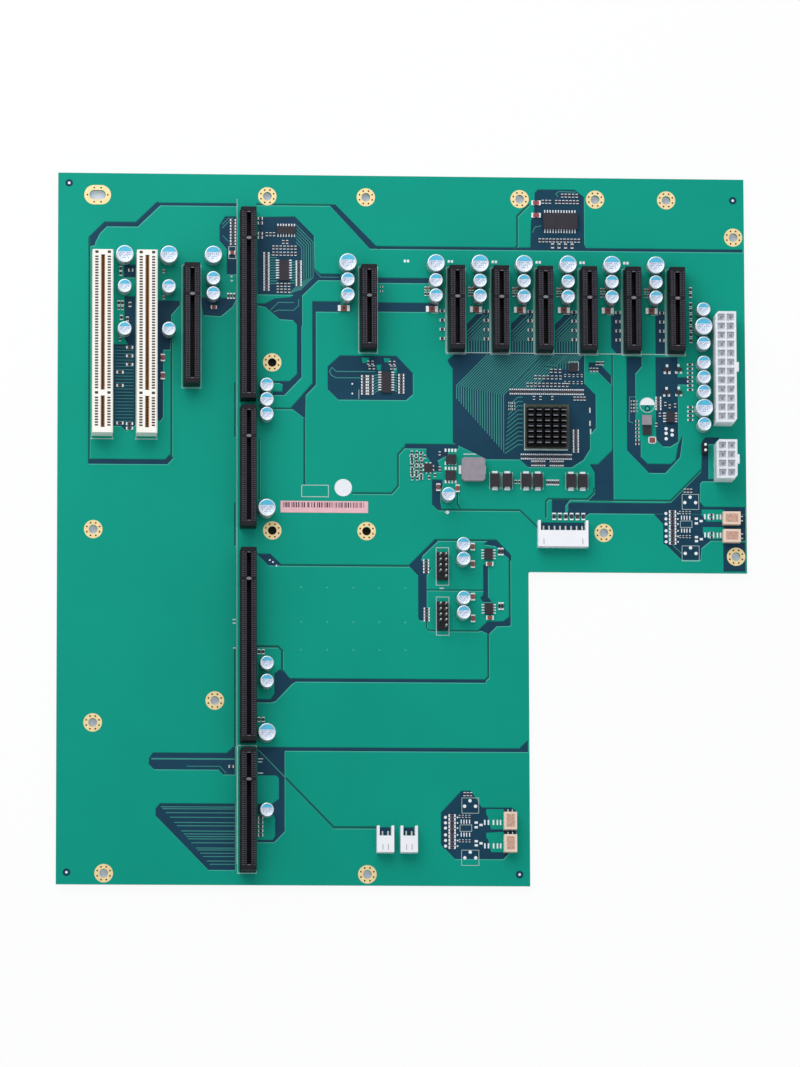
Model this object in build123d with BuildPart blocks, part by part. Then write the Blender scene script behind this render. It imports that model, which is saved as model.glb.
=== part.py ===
"""Passive backplane board for a single board computer and its option cards.

All sizes are in millimetres. The board lies flat, component side up: +X is to the right, +Y to the rear edge,
+Z up. The origin is the middle of the board's outline, level with the tips of the solder side pins.
"""
import os
from build123d import *

# Board
board_thickness = 2.0
pin_tail = 1.5
board_top = pin_tail + board_thickness
rear_margin = 17.1
front_margin = 5.7
right_margin = 32.1
lower_width = 216.2
notch_radius = 1.0
mounting_hole_radius = 2.0
slotted_hole_length = 7.6
slotted_hole_width = 4.4

# Where the mounting holes are
edge_inset = 5.0
rear_hole_inset = 10.2
slotted_hole_x = 18.1
computer_to_rear_hole = 9.0
computer_to_side_holes = 11.2
hole_to_lane_4 = 0.9
rear_hole_right_insets = (104.0, 69.0, 36.0)
right_edge_hole_inset = 27.3
notch_to_right_edge_hole = 7.6
notch_to_middle_holes = 18.2
middle_hole_right_inset = 66.0
left_edge_hole_x = 16.5
left_edge_hole_from_front = 74.0
lone_hole_x = 72.2
lone_hole_from_front = 84.4
front_left_hole_x = 21.7
upper_side_hole_inset = 87.8

# Card sockets with 1.00 mm contacts
socket_width = 7.0
socket_base_width = 7.5
socket_base_height = 3.0
socket_height = 11.2
socket_edge_chamfer = 0.4
card_gap = 1.8
card_depth = 7.6
trough_width = 4.6
trough_depth = 0.9
end_wall = 2.0
key_bridge = 1.7
key_bridge_drop = 0.3
key_section = 11.65
lane_section_4 = 21.65
lane_section_8 = 38.65
lane_section_16 = 71.65

# White bus sockets with 1.27 mm contacts
bus_width = 9.5
bus_height = 11.0
bus_edge_chamfer = 0.6
bus_card_gap = 1.9
bus_card_depth = 7.8
bus_long_section = 62.9
bus_key = 2.7
bus_short_section = 14.6
bus_end_wall = 2.4
bus_contact_row_offset = 2.85
bus_contact_row_width = 1.3
bus_contact_row_depth = 1.6

# Posts under every socket
post_radius = 1.1
post_clearance = 0.1
post_inset = 4.5

# Where the sockets stand
slot_pitch = 20.32
first_bus_x = 20.35
bus_to_lane_offset = 0.4
lane_8_to_computer = 25.9
computer_to_lane_4 = 55.4
lane_4_count = 8
vacant_lane_4 = 1
bus_rear_inset = 37.7
lane_rear_inset = 43.4
computer_pair_gap = 3.1
computer_middle_gap = 10.0

# Electrolytic capacitors
large_can_radius = 4.0
large_can_height = 8.5
small_can_radius = 3.15
small_can_height = 8.0
large_can_sides = 16
small_can_sides = 12
can_gap = 0.8
close_can_gap = 0.45
socket_to_can = 1.95
bus_to_can = 1.3
computer_to_can = 0.6
inlet_to_can = 0.9
lane_can_overhang = 1.4
lane_8_large_can_inset = 39.1
lane_8_small_can_inset = 50.0
bus_can_insets = (39.2, 54.0, 73.8)
computer_a_cans_inset = 99.4
computer_b_can_inset = 156.5
computer_c_can_insets = (228.0, 236.3)
computer_c_large_can_inset = 259.9
computer_d_can_inset = 295.4
inlet_can_overhang = 1.8
inlet_second_cans = 23.1
choke_can_place = (179.0, 149.5)
header_to_can = 9.3
rear_header_can_overhang = 9.5
front_header_can_overhang = 7.5

# Power inlets
inlet_pitch = 4.2
inlet_width = 9.6
inlet_height = 12.8
inlet_end = 2.7
inlet_cell = 3.3
inlet_cell_depth = 9.4
inlet_pin = 1.0
inlet_pin_height = 8.6
inlet_corner = 1.4
inlet_latch_width = 4.2
inlet_latch_reach = 1.0
inlet_latch_height = 2.4
inlet_from_right = 10.2
long_inlet_rows = 12
short_inlet_rows = 4
long_inlet_rear_inset = 64.2
inlet_spacing = 8.1

# White side entry headers
wafer_pitch = 2.54
wafer_end = 2.65
wafer_depth = 7.5
wafer_height = 5.8
wafer_wall = 0.9
wafer_arm_length = 4.6
wafer_arm_width = 1.2
wafer_mouth_depth = 6.3
wafer_pin = 0.64
wafer_pin_bend = 2.0
wafer_pin_stop = 1.0
long_wafer_ways = 8
short_wafer_ways = 2
notch_to_wafer = 11.0
long_wafer_right_inset = 85.2
two_way_wafer_x = (149.8, 160.6)
two_way_wafer_from_front = 14.7

# Small beige side entry headers
beige_length = 8.0
beige_width = 5.9
beige_height = 4.8
beige_wall = 0.8
beige_mouth_depth = 6.6
beige_pin = 0.5
beige_pin_pitch = 2.0
beige_pin_reach = 5.4
beige_pin_bend = 0.8
inlet_to_beige = 14.25
beige_gap = 2.3
beige_to_notch = 13.85
beige_right_inset = 7.3
beige_lower_inset = 9.2
beige_lower_from_front = (29.5, 19.2)

# Black pin headers
header_pitch = 2.54
header_columns = 2
header_rows = 5
header_base_height = 2.5
header_pin = 0.64
header_pin_height = 8.5
header_x = 176.5
rear_header_inset = 182.1
front_header_inset = 204.9
jumper_height = 6.0
jumper_right_inset = 19.33
inlet_to_jumper = 62.3

# Switch chip and heat sink
switch_size = 20.6
switch_substrate = 1.2
switch_cap_size = 15.0
switch_cap = 0.9
sink_size = 18.2
sink_base = 1.8
sink_fin_height = 6.2
sink_fin_width = 2.4
sink_fin_thickness = 1.5
sink_pitch_x = 3.8
sink_pitch_y = 2.54
sink_columns = 5
sink_rows = 7
sink_shift_x = -0.6
sink_shift_y = -0.7
switch_place = (225.1, 116.7)

# Chips and small parts
wide_chip_size = (15.8, 7.4, 2.3)
narrow_chip_size = (8.6, 3.5, 1.5)
small_chip_size = (3.9, 5.0, 1.5)
fine_chip_size = (4.5, 9.7, 1.1)
lead_pitch = 1.27
lead_width = 0.42
lead_thickness = 0.2
lead_foot = 0.6
wide_lead_reach = 1.35
wide_chip_side_leads = 12
narrow_chip_side_leads = 7
small_chip_side_leads = 4
narrow_lead_reach = 1.0
tantalum_size = (4.3, 6.0, 2.8)
tantalum_terminal = 0.65
tantalum_shoulder = 0.95
tantalum_x = (200.9, 206.6, 215.3, 220.7, 236.0, 241.4)
tantalum_inset = 142.0
quad_chip_size = (4.0, 4.0, 0.9)
transistor_size = (2.9, 1.6, 1.1)
power_transistor_size = (4.6, 4.4, 1.4)
choke_size = 10.8
choke_height = 4.0
choke_chamfer = 1.0
small_choke_size = 4.5
small_choke_height = 2.0
chip_length = 5.4
chip_width = 2.6
chip_height = 1.1
chip_to_lane_4 = 11.2
chip_from_lane_rear = 18.9
wide_chip_place = (231.6, 20.6)
narrow_chip_place = (105.0, 26.0)
rear_header_chip_place = (197.8, 176.2)
front_header_chip_place = (197.8, 201.5)
inlet_chip_place = (282.1, 111.8)
left_fine_chip_place = (104.0, 44.8)
right_fine_chip_place = (151.0, 96.7)
quad_chip_places = ((237.2, 89.1), (271.3, 118.1), (170.3, 136.3))
transistor_x = (280.3, 286.1)
transistor_insets = (89.5, 100.2)
power_transistor_places = ((180.7, 132.3), (180.5, 139.8))
choke_place = (190.8, 137.2)
small_choke_place = (271.1, 113.4)
label_thickness = 0.1
long_label_place = (122.4, 154.8)
round_label_place = (131.1, 145.8)
barcode_label_length = 40.2
barcode_label_width = 5.4
round_label_radius = 4.0

# Worked out from the sizes above
lane_8_length = 2 * end_wall + key_section + key_bridge + lane_section_8
lane_16_length = 2 * end_wall + key_section + key_bridge + lane_section_16
bus_length = 2 * bus_end_wall + bus_long_section + bus_key + bus_short_section
second_bus_x = first_bus_x + slot_pitch
lane_8_x = second_bus_x + slot_pitch + bus_to_lane_offset
computer_x = lane_8_x + lane_8_to_computer
first_lane_4_x = computer_x + computer_to_lane_4
board_width = first_lane_4_x + (lane_4_count - 1) * slot_pitch + right_margin
computer_column = 2 * (lane_16_length + lane_8_length + computer_pair_gap) + computer_middle_gap
board_depth = rear_margin + computer_column + front_margin
long_inlet_length = (long_inlet_rows - 1) * inlet_pitch + 2 * inlet_end
short_inlet_length = (short_inlet_rows - 1) * inlet_pitch + 2 * inlet_end
short_inlet_inset = long_inlet_rear_inset + long_inlet_length + inlet_spacing
beige_inset = short_inlet_inset + short_inlet_length + inlet_to_beige + beige_width / 2
upper_depth = beige_inset + beige_width + beige_gap + beige_width / 2 + beige_to_notch
left = -board_width / 2
right = board_width / 2
rear = board_depth / 2
front = -board_depth / 2
lower_right = left + lower_width
upper_front = rear - upper_depth
centred_low = (Align.CENTER, Align.MIN)
post_points = []
pin_points = []


def from_corner(right_of_left_edge, in_front_of_rear_edge):
    """A point measured from the board's rear left corner."""
    return (left + right_of_left_edge, rear - in_front_of_rear_edge)


def across(centre_x, rear_y):
    """A plane across a socket at its rear end: its own y is up, and it extrudes towards the front."""
    return Plane(origin=(centre_x, rear_y, board_top), x_dir=(1, 0, 0), z_dir=(0, -1, 0))


def add_posts(centre_x, rear_y, length):
    """Notes where a socket's two posts go through the board, and returns the two points."""
    points = [(centre_x, rear_y - post_inset), (centre_x, rear_y - length + post_inset)]
    post_points.extend(points)
    return points


def lane_socket(centre_x, rear_y, lane_section):
    """A black card socket: a short keyed section, the bridge across the key, then the lane section."""
    length = 2 * end_wall + key_section + key_bridge + lane_section
    top = board_top + socket_height
    first_end = rear_y - end_wall - key_section
    second_start = first_end - key_bridge
    second_end = second_start - lane_section
    middle = (rear_y - end_wall + second_end) / 2
    opening = key_section + key_bridge + lane_section
    points = add_posts(centre_x, rear_y, length)
    with BuildPart() as socket:
        with BuildSketch(across(centre_x, rear_y)) as section:
            Rectangle(socket_base_width, socket_base_height, align=centred_low)
            Rectangle(socket_width, socket_height, align=centred_low)
            chamfer(section.vertices().group_by(Axis.Y)[-1], socket_edge_chamfer)
        extrude(amount=length)
        with BuildSketch(Plane.XY.offset(top)):
            with Locations((centre_x, middle)):
                Rectangle(trough_width, opening)
            with Locations((centre_x, first_end - key_bridge / 2)):
                Rectangle(trough_width, key_bridge, mode=Mode.SUBTRACT)
        extrude(amount=-trough_depth, mode=Mode.SUBTRACT)
        with BuildSketch(Plane.XY.offset(top)):
            with Locations((centre_x, first_end + key_section / 2)):
                Rectangle(card_gap, key_section)
            with Locations((centre_x, second_start - lane_section / 2)):
                Rectangle(card_gap, lane_section)
        extrude(amount=-card_depth, mode=Mode.SUBTRACT)
        with BuildSketch(Plane.XY.offset(top)):
            with Locations((centre_x, first_end - key_bridge / 2)):
                Rectangle(trough_width, key_bridge)
        extrude(amount=-key_bridge_drop, mode=Mode.SUBTRACT)
        with BuildSketch(Plane.XY.offset(board_top)):
            with Locations(*points):
                RegularPolygon(post_radius, 6)
        extrude(amount=-board_top)
    return socket


def bus_socket(centre_x, rear_y):
    """A white bus socket: a long section, a key, a short section, and a row of contacts down each side."""
    top = board_top + bus_height
    long_y = rear_y - bus_end_wall - bus_long_section / 2
    short_y = rear_y - bus_length + bus_end_wall + bus_short_section / 2
    points = add_posts(centre_x, rear_y, bus_length)
    with BuildPart() as socket:
        with BuildSketch(across(centre_x, rear_y)) as section:
            Rectangle(bus_width, bus_height, align=centred_low)
            chamfer(section.vertices().group_by(Axis.Y)[-1], bus_edge_chamfer)
        extrude(amount=bus_length)
        with BuildSketch(Plane.XY.offset(top)):
            with Locations((centre_x, long_y)):
                Rectangle(bus_card_gap, bus_long_section)
            with Locations((centre_x, short_y)):
                Rectangle(bus_card_gap, bus_short_section)
        extrude(amount=-bus_card_depth, mode=Mode.SUBTRACT)
        with BuildSketch(Plane.XY.offset(top)):
            for side in (-1, 1):
                row_x = centre_x + side * bus_contact_row_offset
                with Locations((row_x, long_y)):
                    Rectangle(bus_contact_row_width, bus_long_section)
                with Locations((row_x, short_y)):
                    Rectangle(bus_contact_row_width, bus_short_section)
        extrude(amount=-bus_contact_row_depth, mode=Mode.SUBTRACT)
        with BuildSketch(Plane.XY.offset(board_top)):
            with Locations(*points):
                RegularPolygon(post_radius, 6)
        extrude(amount=-board_top)
    return socket


def power_inlet(centre_x, rear_y, rows):
    """A two-column power inlet with square cells, two cut corners and a latch ledge on its right side."""
    length = (rows - 1) * inlet_pitch + 2 * inlet_end
    centre_y = rear_y - length / 2
    top = board_top + inlet_height
    cut_corners = [(-inlet_width / 2, length / 2), (inlet_width / 2, -length / 2)]
    with BuildPart() as housing:
        with BuildSketch(Plane.XY.offset(board_top)) as outline:
            with Locations((centre_x, centre_y)):
                Rectangle(inlet_width, length)
            corners = outline.vertices().sort_by(Axis.Y)
            rear_left = corners[-2:].sort_by(Axis.X)[0]
            front_right = corners[:2].sort_by(Axis.X)[-1]
            chamfer([rear_left, front_right], inlet_corner)
        extrude(amount=inlet_height)
        with BuildSketch(Plane.XY.offset(top)):
            with Locations((centre_x + inlet_width / 2 + inlet_latch_reach / 2, centre_y)):
                Rectangle(inlet_latch_reach, inlet_latch_width)
        extrude(amount=-inlet_latch_height)
        with BuildSketch(Plane.XY.offset(top)):
            with Locations((centre_x, centre_y)):
                with GridLocations(inlet_pitch, inlet_pitch, 2, rows):
                    Rectangle(inlet_cell, inlet_cell)
        extrude(amount=-inlet_cell_depth, mode=Mode.SUBTRACT)
        with BuildSketch(Plane.XY.offset(board_top)):
            with Locations((centre_x, centre_y)):
                with GridLocations(inlet_pitch, inlet_pitch, 2, rows):
                    Rectangle(inlet_pin, inlet_pin)
        extrude(amount=inlet_height - inlet_cell_depth, mode=Mode.SUBTRACT)
    with BuildPart() as pins:
        with BuildSketch():
            with Locations((centre_x, centre_y)):
                with GridLocations(inlet_pitch, inlet_pitch, 2, rows):
                    Rectangle(inlet_pin, inlet_pin)
        extrude(amount=board_top + inlet_pin_height)
    for row in range(rows):
        for column in (-0.5, 0.5):
            pin_y = centre_y + (row - (rows - 1) / 2) * inlet_pitch
            pin_points.append((centre_x + column * inlet_pitch, pin_y, inlet_pin))
    return housing, pins


def wafer_header(centre_x, front_y, ways):
    """A white side entry header: mouth to the front, an arm at each end of its back, bent pins between."""
    width = (ways - 1) * wafer_pitch + 2 * wafer_end
    back_y = front_y + wafer_depth
    bend_y = back_y + wafer_pin_bend
    mouth_z = board_top + wafer_height / 2
    first_pin_x = centre_x - (ways - 1) * wafer_pitch / 2
    pin_end = wafer_pin_stop - wafer_pin_bend - wafer_depth
    mouth_plane = Plane(origin=(centre_x, front_y, mouth_z), x_dir=(-1, 0, 0), z_dir=(0, 1, 0))
    pin_plane = Plane(origin=(first_pin_x - wafer_pin / 2, bend_y, 0), x_dir=(0, 1, 0), z_dir=(1, 0, 0))
    with BuildPart() as housing:
        with BuildSketch(Plane.XY.offset(board_top)):
            with Locations((centre_x, front_y)):
                Rectangle(width, wafer_depth, align=centred_low)
            for side in (-1, 1):
                arm_x = centre_x + side * (width - wafer_arm_width) / 2
                with Locations((arm_x, back_y)):
                    Rectangle(wafer_arm_width, wafer_arm_length, align=centred_low)
        extrude(amount=wafer_height)
        with BuildSketch(mouth_plane):
            Rectangle(width - 2 * wafer_wall, wafer_height - 2 * wafer_wall)
        extrude(amount=wafer_mouth_depth, mode=Mode.SUBTRACT)
        with BuildSketch(mouth_plane):
            with GridLocations(wafer_pitch, 1, ways, 1):
                Rectangle(wafer_pin, wafer_pin)
        extrude(amount=wafer_depth, mode=Mode.SUBTRACT)
    with BuildPart() as pins:
        with BuildSketch(pin_plane):
            with BuildLine():
                Polyline(
                    (-wafer_pin / 2, 0),
                    (wafer_pin / 2, 0),
                    (wafer_pin / 2, mouth_z + wafer_pin / 2),
                    (pin_end, mouth_z + wafer_pin / 2),
                    (pin_end, mouth_z - wafer_pin / 2),
                    (-wafer_pin / 2, mouth_z - wafer_pin / 2),
                    close=True,
                )
            make_face()
        extrude(amount=wafer_pin)
        first_pin = pins.part
        for way in range(1, ways):
            add(Pos(way * wafer_pitch, 0, 0) * first_pin)
    for way in range(ways):
        pin_points.append((first_pin_x + way * wafer_pitch, bend_y, wafer_pin))
    return housing, pins


def beige_header(centre_x, centre_y, turned):
    """A small two-way side entry header; turned ones point their pins at the board's right edge."""
    place = Location((centre_x, centre_y, board_top), (0, 0, -90 if turned else 0))
    half = beige_length / 2
    pin_side = -(beige_pin_pitch + beige_pin) / 2
    mouth_plane = Plane(origin=(0, -half, beige_height / 2), x_dir=(-1, 0, 0), z_dir=(0, 1, 0))
    pin_plane = Plane(origin=(pin_side, half, 0), x_dir=(0, 1, 0), z_dir=(1, 0, 0))
    with BuildPart() as housing:
        with BuildSketch():
            Rectangle(beige_width, beige_length)
        extrude(amount=beige_height)
        with BuildSketch(mouth_plane):
            Rectangle(beige_width - 2 * beige_wall, beige_height - 2 * beige_wall)
        extrude(amount=beige_mouth_depth, mode=Mode.SUBTRACT)
        with BuildSketch(mouth_plane):
            with GridLocations(beige_pin_pitch, 1, 2, 1):
                Rectangle(beige_pin, beige_pin)
        extrude(amount=beige_length, mode=Mode.SUBTRACT)
    with BuildPart() as pins:
        with BuildSketch(pin_plane):
            with BuildLine():
                Polyline(
                    (beige_pin_bend, 0),
                    (beige_pin_bend + beige_pin, 0),
                    (beige_pin_bend + beige_pin, (beige_height + beige_pin) / 2),
                    (-beige_pin_reach, (beige_height + beige_pin) / 2),
                    (-beige_pin_reach, (beige_height - beige_pin) / 2),
                    (beige_pin_bend, (beige_height - beige_pin) / 2),
                    close=True,
                )
            make_face()
        extrude(amount=beige_pin)
        first_pin = pins.part
        add(Pos(beige_pin_pitch, 0, 0) * first_pin)
    return place * housing.part, place * pins.part


def header_spots(centre_x, centre_y, columns, rows):
    """Pin places of a header, the front row first and each row from left to right."""
    spots = []
    for row in range(rows):
        spot_y = centre_y + (row - (rows - 1) / 2) * header_pitch
        for column in range(columns):
            spots.append((centre_x + (column - (columns - 1) / 2) * header_pitch, spot_y))
    return spots


def pin_header(centre_x, centre_y, columns, rows, spots, pin_height):
    """A black pin header with square pins at the given places."""
    with BuildPart() as base:
        with BuildSketch(Plane.XY.offset(board_top)):
            with Locations((centre_x, centre_y)):
                Rectangle(columns * header_pitch, rows * header_pitch)
            with Locations(*spots):
                Rectangle(header_pin, header_pin, mode=Mode.SUBTRACT)
        extrude(amount=header_base_height)
    with BuildPart() as pins:
        with BuildSketch():
            with Locations(*spots):
                Rectangle(header_pin, header_pin)
        extrude(amount=board_top + pin_height)
    for spot in spots:
        pin_points.append((*spot, header_pin))
    return base, pins


def can_stack(centre_x, first_y, letters, gap):
    """Centres of capacitors in a row towards the front, from a word of L (large) and S (small)."""
    radius = {"L": large_can_radius, "S": small_can_radius}
    found = []
    centre_y = first_y
    for place, letter in enumerate(letters):
        if place:
            centre_y -= radius[letters[place - 1]] + gap + radius[letter]
        found.append((letter, (centre_x, centre_y)))
    return found


def cans(points, radius, height, sides):
    """Aluminium cans standing on the board, drawn with flats because there are so many of them."""
    with BuildPart() as group:
        with BuildSketch(Plane.XY.offset(board_top)):
            with Locations(*points):
                RegularPolygon(radius, sides)
        extrude(amount=height)
    return group


def flat_parts(spots, size):
    """Rectangular bodies that lie on the board."""
    with BuildPart() as group:
        with BuildSketch(Plane.XY.offset(board_top)):
            with Locations(*spots):
                Rectangle(size[0], size[1])
        extrude(amount=size[2])
    return group


def chip_leads(spot, size, reach, count, turned=False):
    """Gull wing leads along the rear and front sides of one chip, or its left and right sides if turned."""
    half = (size[0] if turned else size[1]) / 2
    shoulder = size[2] / 2
    with BuildPart() as leads:
        plane = Plane(origin=(spot[0], spot[1] + half, board_top), x_dir=(0, 1, 0), z_dir=(1, 0, 0))
        with BuildSketch(plane):
            with BuildLine():
                Polyline(
                    (0, shoulder),
                    (0, shoulder - lead_thickness),
                    (reach - lead_foot - lead_thickness, 0),
                    (reach, 0),
                    (reach, lead_thickness),
                    (reach - lead_foot, lead_thickness),
                    close=True,
                )
            make_face()
        extrude(amount=lead_width / 2, both=True)
    row = [
        Pos((place - (count - 1) / 2) * lead_pitch, 0, 0) * leads.part
        for place in range(count)
    ]
    back = Location((-spot[0], -spot[1], 0))
    first_turn = 90 if turned else 0
    turns = [Location((spot[0], spot[1], 0), (0, 0, angle)) * back for angle in (first_turn, first_turn + 180)]
    return [turn * lead for turn in turns for lead in row]


def end_terminals(spots, length, width, height, reach):
    """Metal ends that butt against both ends of parts that lie along Y."""
    with BuildPart() as group:
        with BuildSketch(Plane.XY.offset(board_top)):
            for spot in spots:
                for side in (-1, 1):
                    with Locations((spot[0], spot[1] + side * (length + reach) / 2)):
                        Rectangle(width, reach)
        extrude(amount=height)
    return group


def save(builder, name):
    """Labels a finished piece and writes it to its own file."""
    builder.part.label = name
    export_step(builder.part, f"parts/{name}.step")


def save_group(shapes, name):
    """Writes loose solids together as one node."""
    group = Compound(label=name, children=[solid for shape in shapes for solid in shape.solids()])
    export_step(group, f"parts/{name}.step")


os.makedirs("parts", exist_ok=True)

# Computer sockets, in one column from rear to front
column_y = rear - rear_margin
computer_sections = {
    "computer_socket_a": (lane_section_16, lane_16_length, computer_pair_gap),
    "computer_socket_b": (lane_section_8, lane_8_length, computer_middle_gap),
    "computer_socket_c": (lane_section_16, lane_16_length, computer_pair_gap),
    "computer_socket_d": (lane_section_8, lane_8_length, 0),
}
for name, (section_length, socket_length, gap_after) in computer_sections.items():
    save(lane_socket(left + computer_x, column_y, section_length), name)
    column_y -= socket_length + gap_after

# Option card sockets
save(bus_socket(left + first_bus_x, rear - bus_rear_inset), "bus_socket_left")
save(bus_socket(left + second_bus_x, rear - bus_rear_inset), "bus_socket_right")
save(lane_socket(left + lane_8_x, rear - lane_rear_inset, lane_section_8), "lane_socket_8")
lane_4_places = [place for place in range(lane_4_count) if place != vacant_lane_4]
for number, place in enumerate(lane_4_places, start=1):
    socket_x = left + first_lane_4_x + place * slot_pitch
    save(lane_socket(socket_x, rear - lane_rear_inset, lane_section_4), f"lane_socket_4_{number}")

# Power inlets
inlet_x = right - inlet_from_right
long_inlet, long_inlet_pins = power_inlet(inlet_x, rear - long_inlet_rear_inset, long_inlet_rows)
short_inlet, short_inlet_pins = power_inlet(inlet_x, rear - short_inlet_inset, short_inlet_rows)
save(long_inlet, "long_power_inlet")
save(long_inlet_pins, "long_power_inlet_pins")
save(short_inlet, "short_power_inlet")
save(short_inlet_pins, "short_power_inlet_pins")

# White side entry headers
two_way_y = front + two_way_wafer_from_front
long_wafer_x = right - long_wafer_right_inset
long_wafer_y = upper_front + notch_to_wafer
long_wafer, long_wafer_pins = wafer_header(long_wafer_x, long_wafer_y, long_wafer_ways)
left_wafer, left_wafer_pins = wafer_header(left + two_way_wafer_x[0], two_way_y, short_wafer_ways)
right_wafer, right_wafer_pins = wafer_header(left + two_way_wafer_x[1], two_way_y, short_wafer_ways)
save(long_wafer, "eight_way_header")
save(long_wafer_pins, "eight_way_header_pins")
save(left_wafer, "two_way_header_left")
save(right_wafer, "two_way_header_right")
save_group([left_wafer_pins.part, right_wafer_pins.part], "two_way_header_pins")

# Small beige headers
beige_x = right - beige_right_inset
beige_lower_x = lower_right - beige_lower_inset
beige_places = {
    "beige_header_1": (beige_x, rear - beige_inset, True),
    "beige_header_2": (beige_x, rear - beige_inset - beige_width - beige_gap, True),
    "beige_header_3": (beige_lower_x, front + beige_lower_from_front[0], False),
    "beige_header_4": (beige_lower_x, front + beige_lower_from_front[1], False),
}
beige_pins = []
for name, (centre_x, centre_y, turned) in beige_places.items():
    body, pins = beige_header(centre_x, centre_y, turned)
    save_group([body], name)
    beige_pins.append(pins)
save_group(beige_pins, "beige_header_pins")

# Black pin headers, whose front left pin is left out, and the two-pin jumper
for header_name, header_inset in (("rear", rear_header_inset), ("front", front_header_inset)):
    header_place = from_corner(header_x, header_inset)
    kept_spots = header_spots(*header_place, header_columns, header_rows)[1:]
    header_size = (header_columns, header_rows)
    black_base, black_pins = pin_header(*header_place, *header_size, kept_spots, header_pin_height)
    save(black_base, f"pin_header_{header_name}")
    save(black_pins, f"pin_header_{header_name}_pins")
jumper_place = (right - jumper_right_inset, rear - long_inlet_rear_inset - inlet_to_jumper)
jumper_spots = header_spots(*jumper_place, 1, 2)
jumper, jumper_pins = pin_header(*jumper_place, 1, 2, jumper_spots, jumper_height)
save(jumper, "jumper_header")
save(jumper_pins, "jumper_header_pins")

# Electrolytic capacitors
can_places = []
lane_half = socket_base_width / 2
lane_can_y = rear - lane_rear_inset + lane_can_overhang
for place in lane_4_places:
    can_x = left + first_lane_4_x + place * slot_pitch - lane_half - socket_to_can - large_can_radius
    can_places += can_stack(can_x, lane_can_y, "LSS", can_gap)
lane_8_can_x = left + lane_8_x + lane_half + socket_to_can + large_can_radius
can_places += can_stack(lane_8_can_x, rear - lane_8_large_can_inset, "L", can_gap)
can_places += can_stack(lane_8_can_x, rear - lane_8_small_can_inset, "SS", can_gap)
for bus_x in (first_bus_x, second_bus_x):
    can_x = left + bus_x + bus_width / 2 + bus_to_can + large_can_radius
    for letter, can_inset in zip("LSS", bus_can_insets):
        can_places += can_stack(can_x, rear - can_inset, letter, can_gap)
computer_can_x = left + computer_x + lane_half + computer_to_can + large_can_radius
can_places += can_stack(computer_can_x, rear - computer_a_cans_inset, "SSS", close_can_gap)
can_places += can_stack(computer_can_x, rear - computer_b_can_inset, "L", can_gap)
for can_inset in computer_c_can_insets:
    can_places += can_stack(computer_can_x, rear - can_inset, "S", can_gap)
can_places += can_stack(computer_can_x, rear - computer_c_large_can_inset, "L", can_gap)
can_places += can_stack(computer_can_x, rear - computer_d_can_inset, "S", can_gap)
inlet_can_x = inlet_x - inlet_width / 2 - inlet_to_can - large_can_radius
inlet_can_y = rear - long_inlet_rear_inset + inlet_can_overhang
rear_header_can_inset = rear_header_inset - rear_header_can_overhang
front_header_can_inset = front_header_inset - front_header_can_overhang
inlet_second_y = rear - long_inlet_rear_inset - inlet_second_cans
can_places += can_stack(inlet_can_x, inlet_can_y, "SLS", can_gap)
can_places += can_stack(inlet_can_x, inlet_second_y, "SSSLS", close_can_gap)
can_places += can_stack(*from_corner(*choke_can_place), "S", can_gap)
for can_inset in (rear_header_can_inset, front_header_can_inset):
    can_places += can_stack(*from_corner(header_x + header_to_can, can_inset), "SS", close_can_gap)
large_can_points = [point for letter, point in can_places if letter == "L"]
small_can_points = [point for letter, point in can_places if letter == "S"]
save(cans(large_can_points, large_can_radius, large_can_height, large_can_sides), "large_capacitors")
save(cans(small_can_points, small_can_radius, small_can_height, small_can_sides), "small_capacitors")

# Switch chip under its heat sink
switch_x, switch_y = from_corner(*switch_place)
cap_bottom = board_top + switch_substrate
sink_bottom = cap_bottom + switch_cap
with BuildPart() as switch_chip:
    with BuildSketch(Plane.XY.offset(board_top)):
        with Locations((switch_x, switch_y)):
            Rectangle(switch_size, switch_size)
    extrude(amount=switch_substrate)
    with BuildSketch(Plane.XY.offset(cap_bottom)):
        with Locations((switch_x, switch_y)):
            Rectangle(switch_cap_size, switch_cap_size)
    extrude(amount=switch_cap)
save(switch_chip, "switch_chip")
with BuildPart() as heat_sink:
    with BuildSketch(Plane.XY.offset(sink_bottom)):
        with Locations((switch_x + sink_shift_x, switch_y + sink_shift_y)):
            Rectangle(sink_size, sink_size)
    extrude(amount=sink_base)
    with BuildSketch(Plane.XY.offset(sink_bottom + sink_base)):
        with Locations((switch_x + sink_shift_x, switch_y + sink_shift_y)):
            with GridLocations(sink_pitch_x, sink_pitch_y, sink_columns, sink_rows):
                Rectangle(sink_fin_width, sink_fin_thickness)
    extrude(amount=sink_fin_height)
save(heat_sink, "heat_sink")

# Leaded chips
wide_spot = from_corner(*wide_chip_place)
narrow_spot = from_corner(*narrow_chip_place)
small_chip_places = (rear_header_chip_place, front_header_chip_place, inlet_chip_place)
small_spots = [from_corner(*place) for place in small_chip_places]
fine_spots = [from_corner(*left_fine_chip_place), from_corner(*right_fine_chip_place)]
save(flat_parts([wide_spot], wide_chip_size), "wide_chip")
save(flat_parts([narrow_spot], narrow_chip_size), "narrow_chip")
save(flat_parts(small_spots, small_chip_size), "small_chips")
save(flat_parts(fine_spots, fine_chip_size), "fine_lead_chips")
leads = chip_leads(wide_spot, wide_chip_size, wide_lead_reach, wide_chip_side_leads)
leads += chip_leads(narrow_spot, narrow_chip_size, narrow_lead_reach, narrow_chip_side_leads)
for spot in small_spots:
    leads += chip_leads(spot, small_chip_size, narrow_lead_reach, small_chip_side_leads, turned=True)
save_group(leads, "chip_leads")

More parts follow.
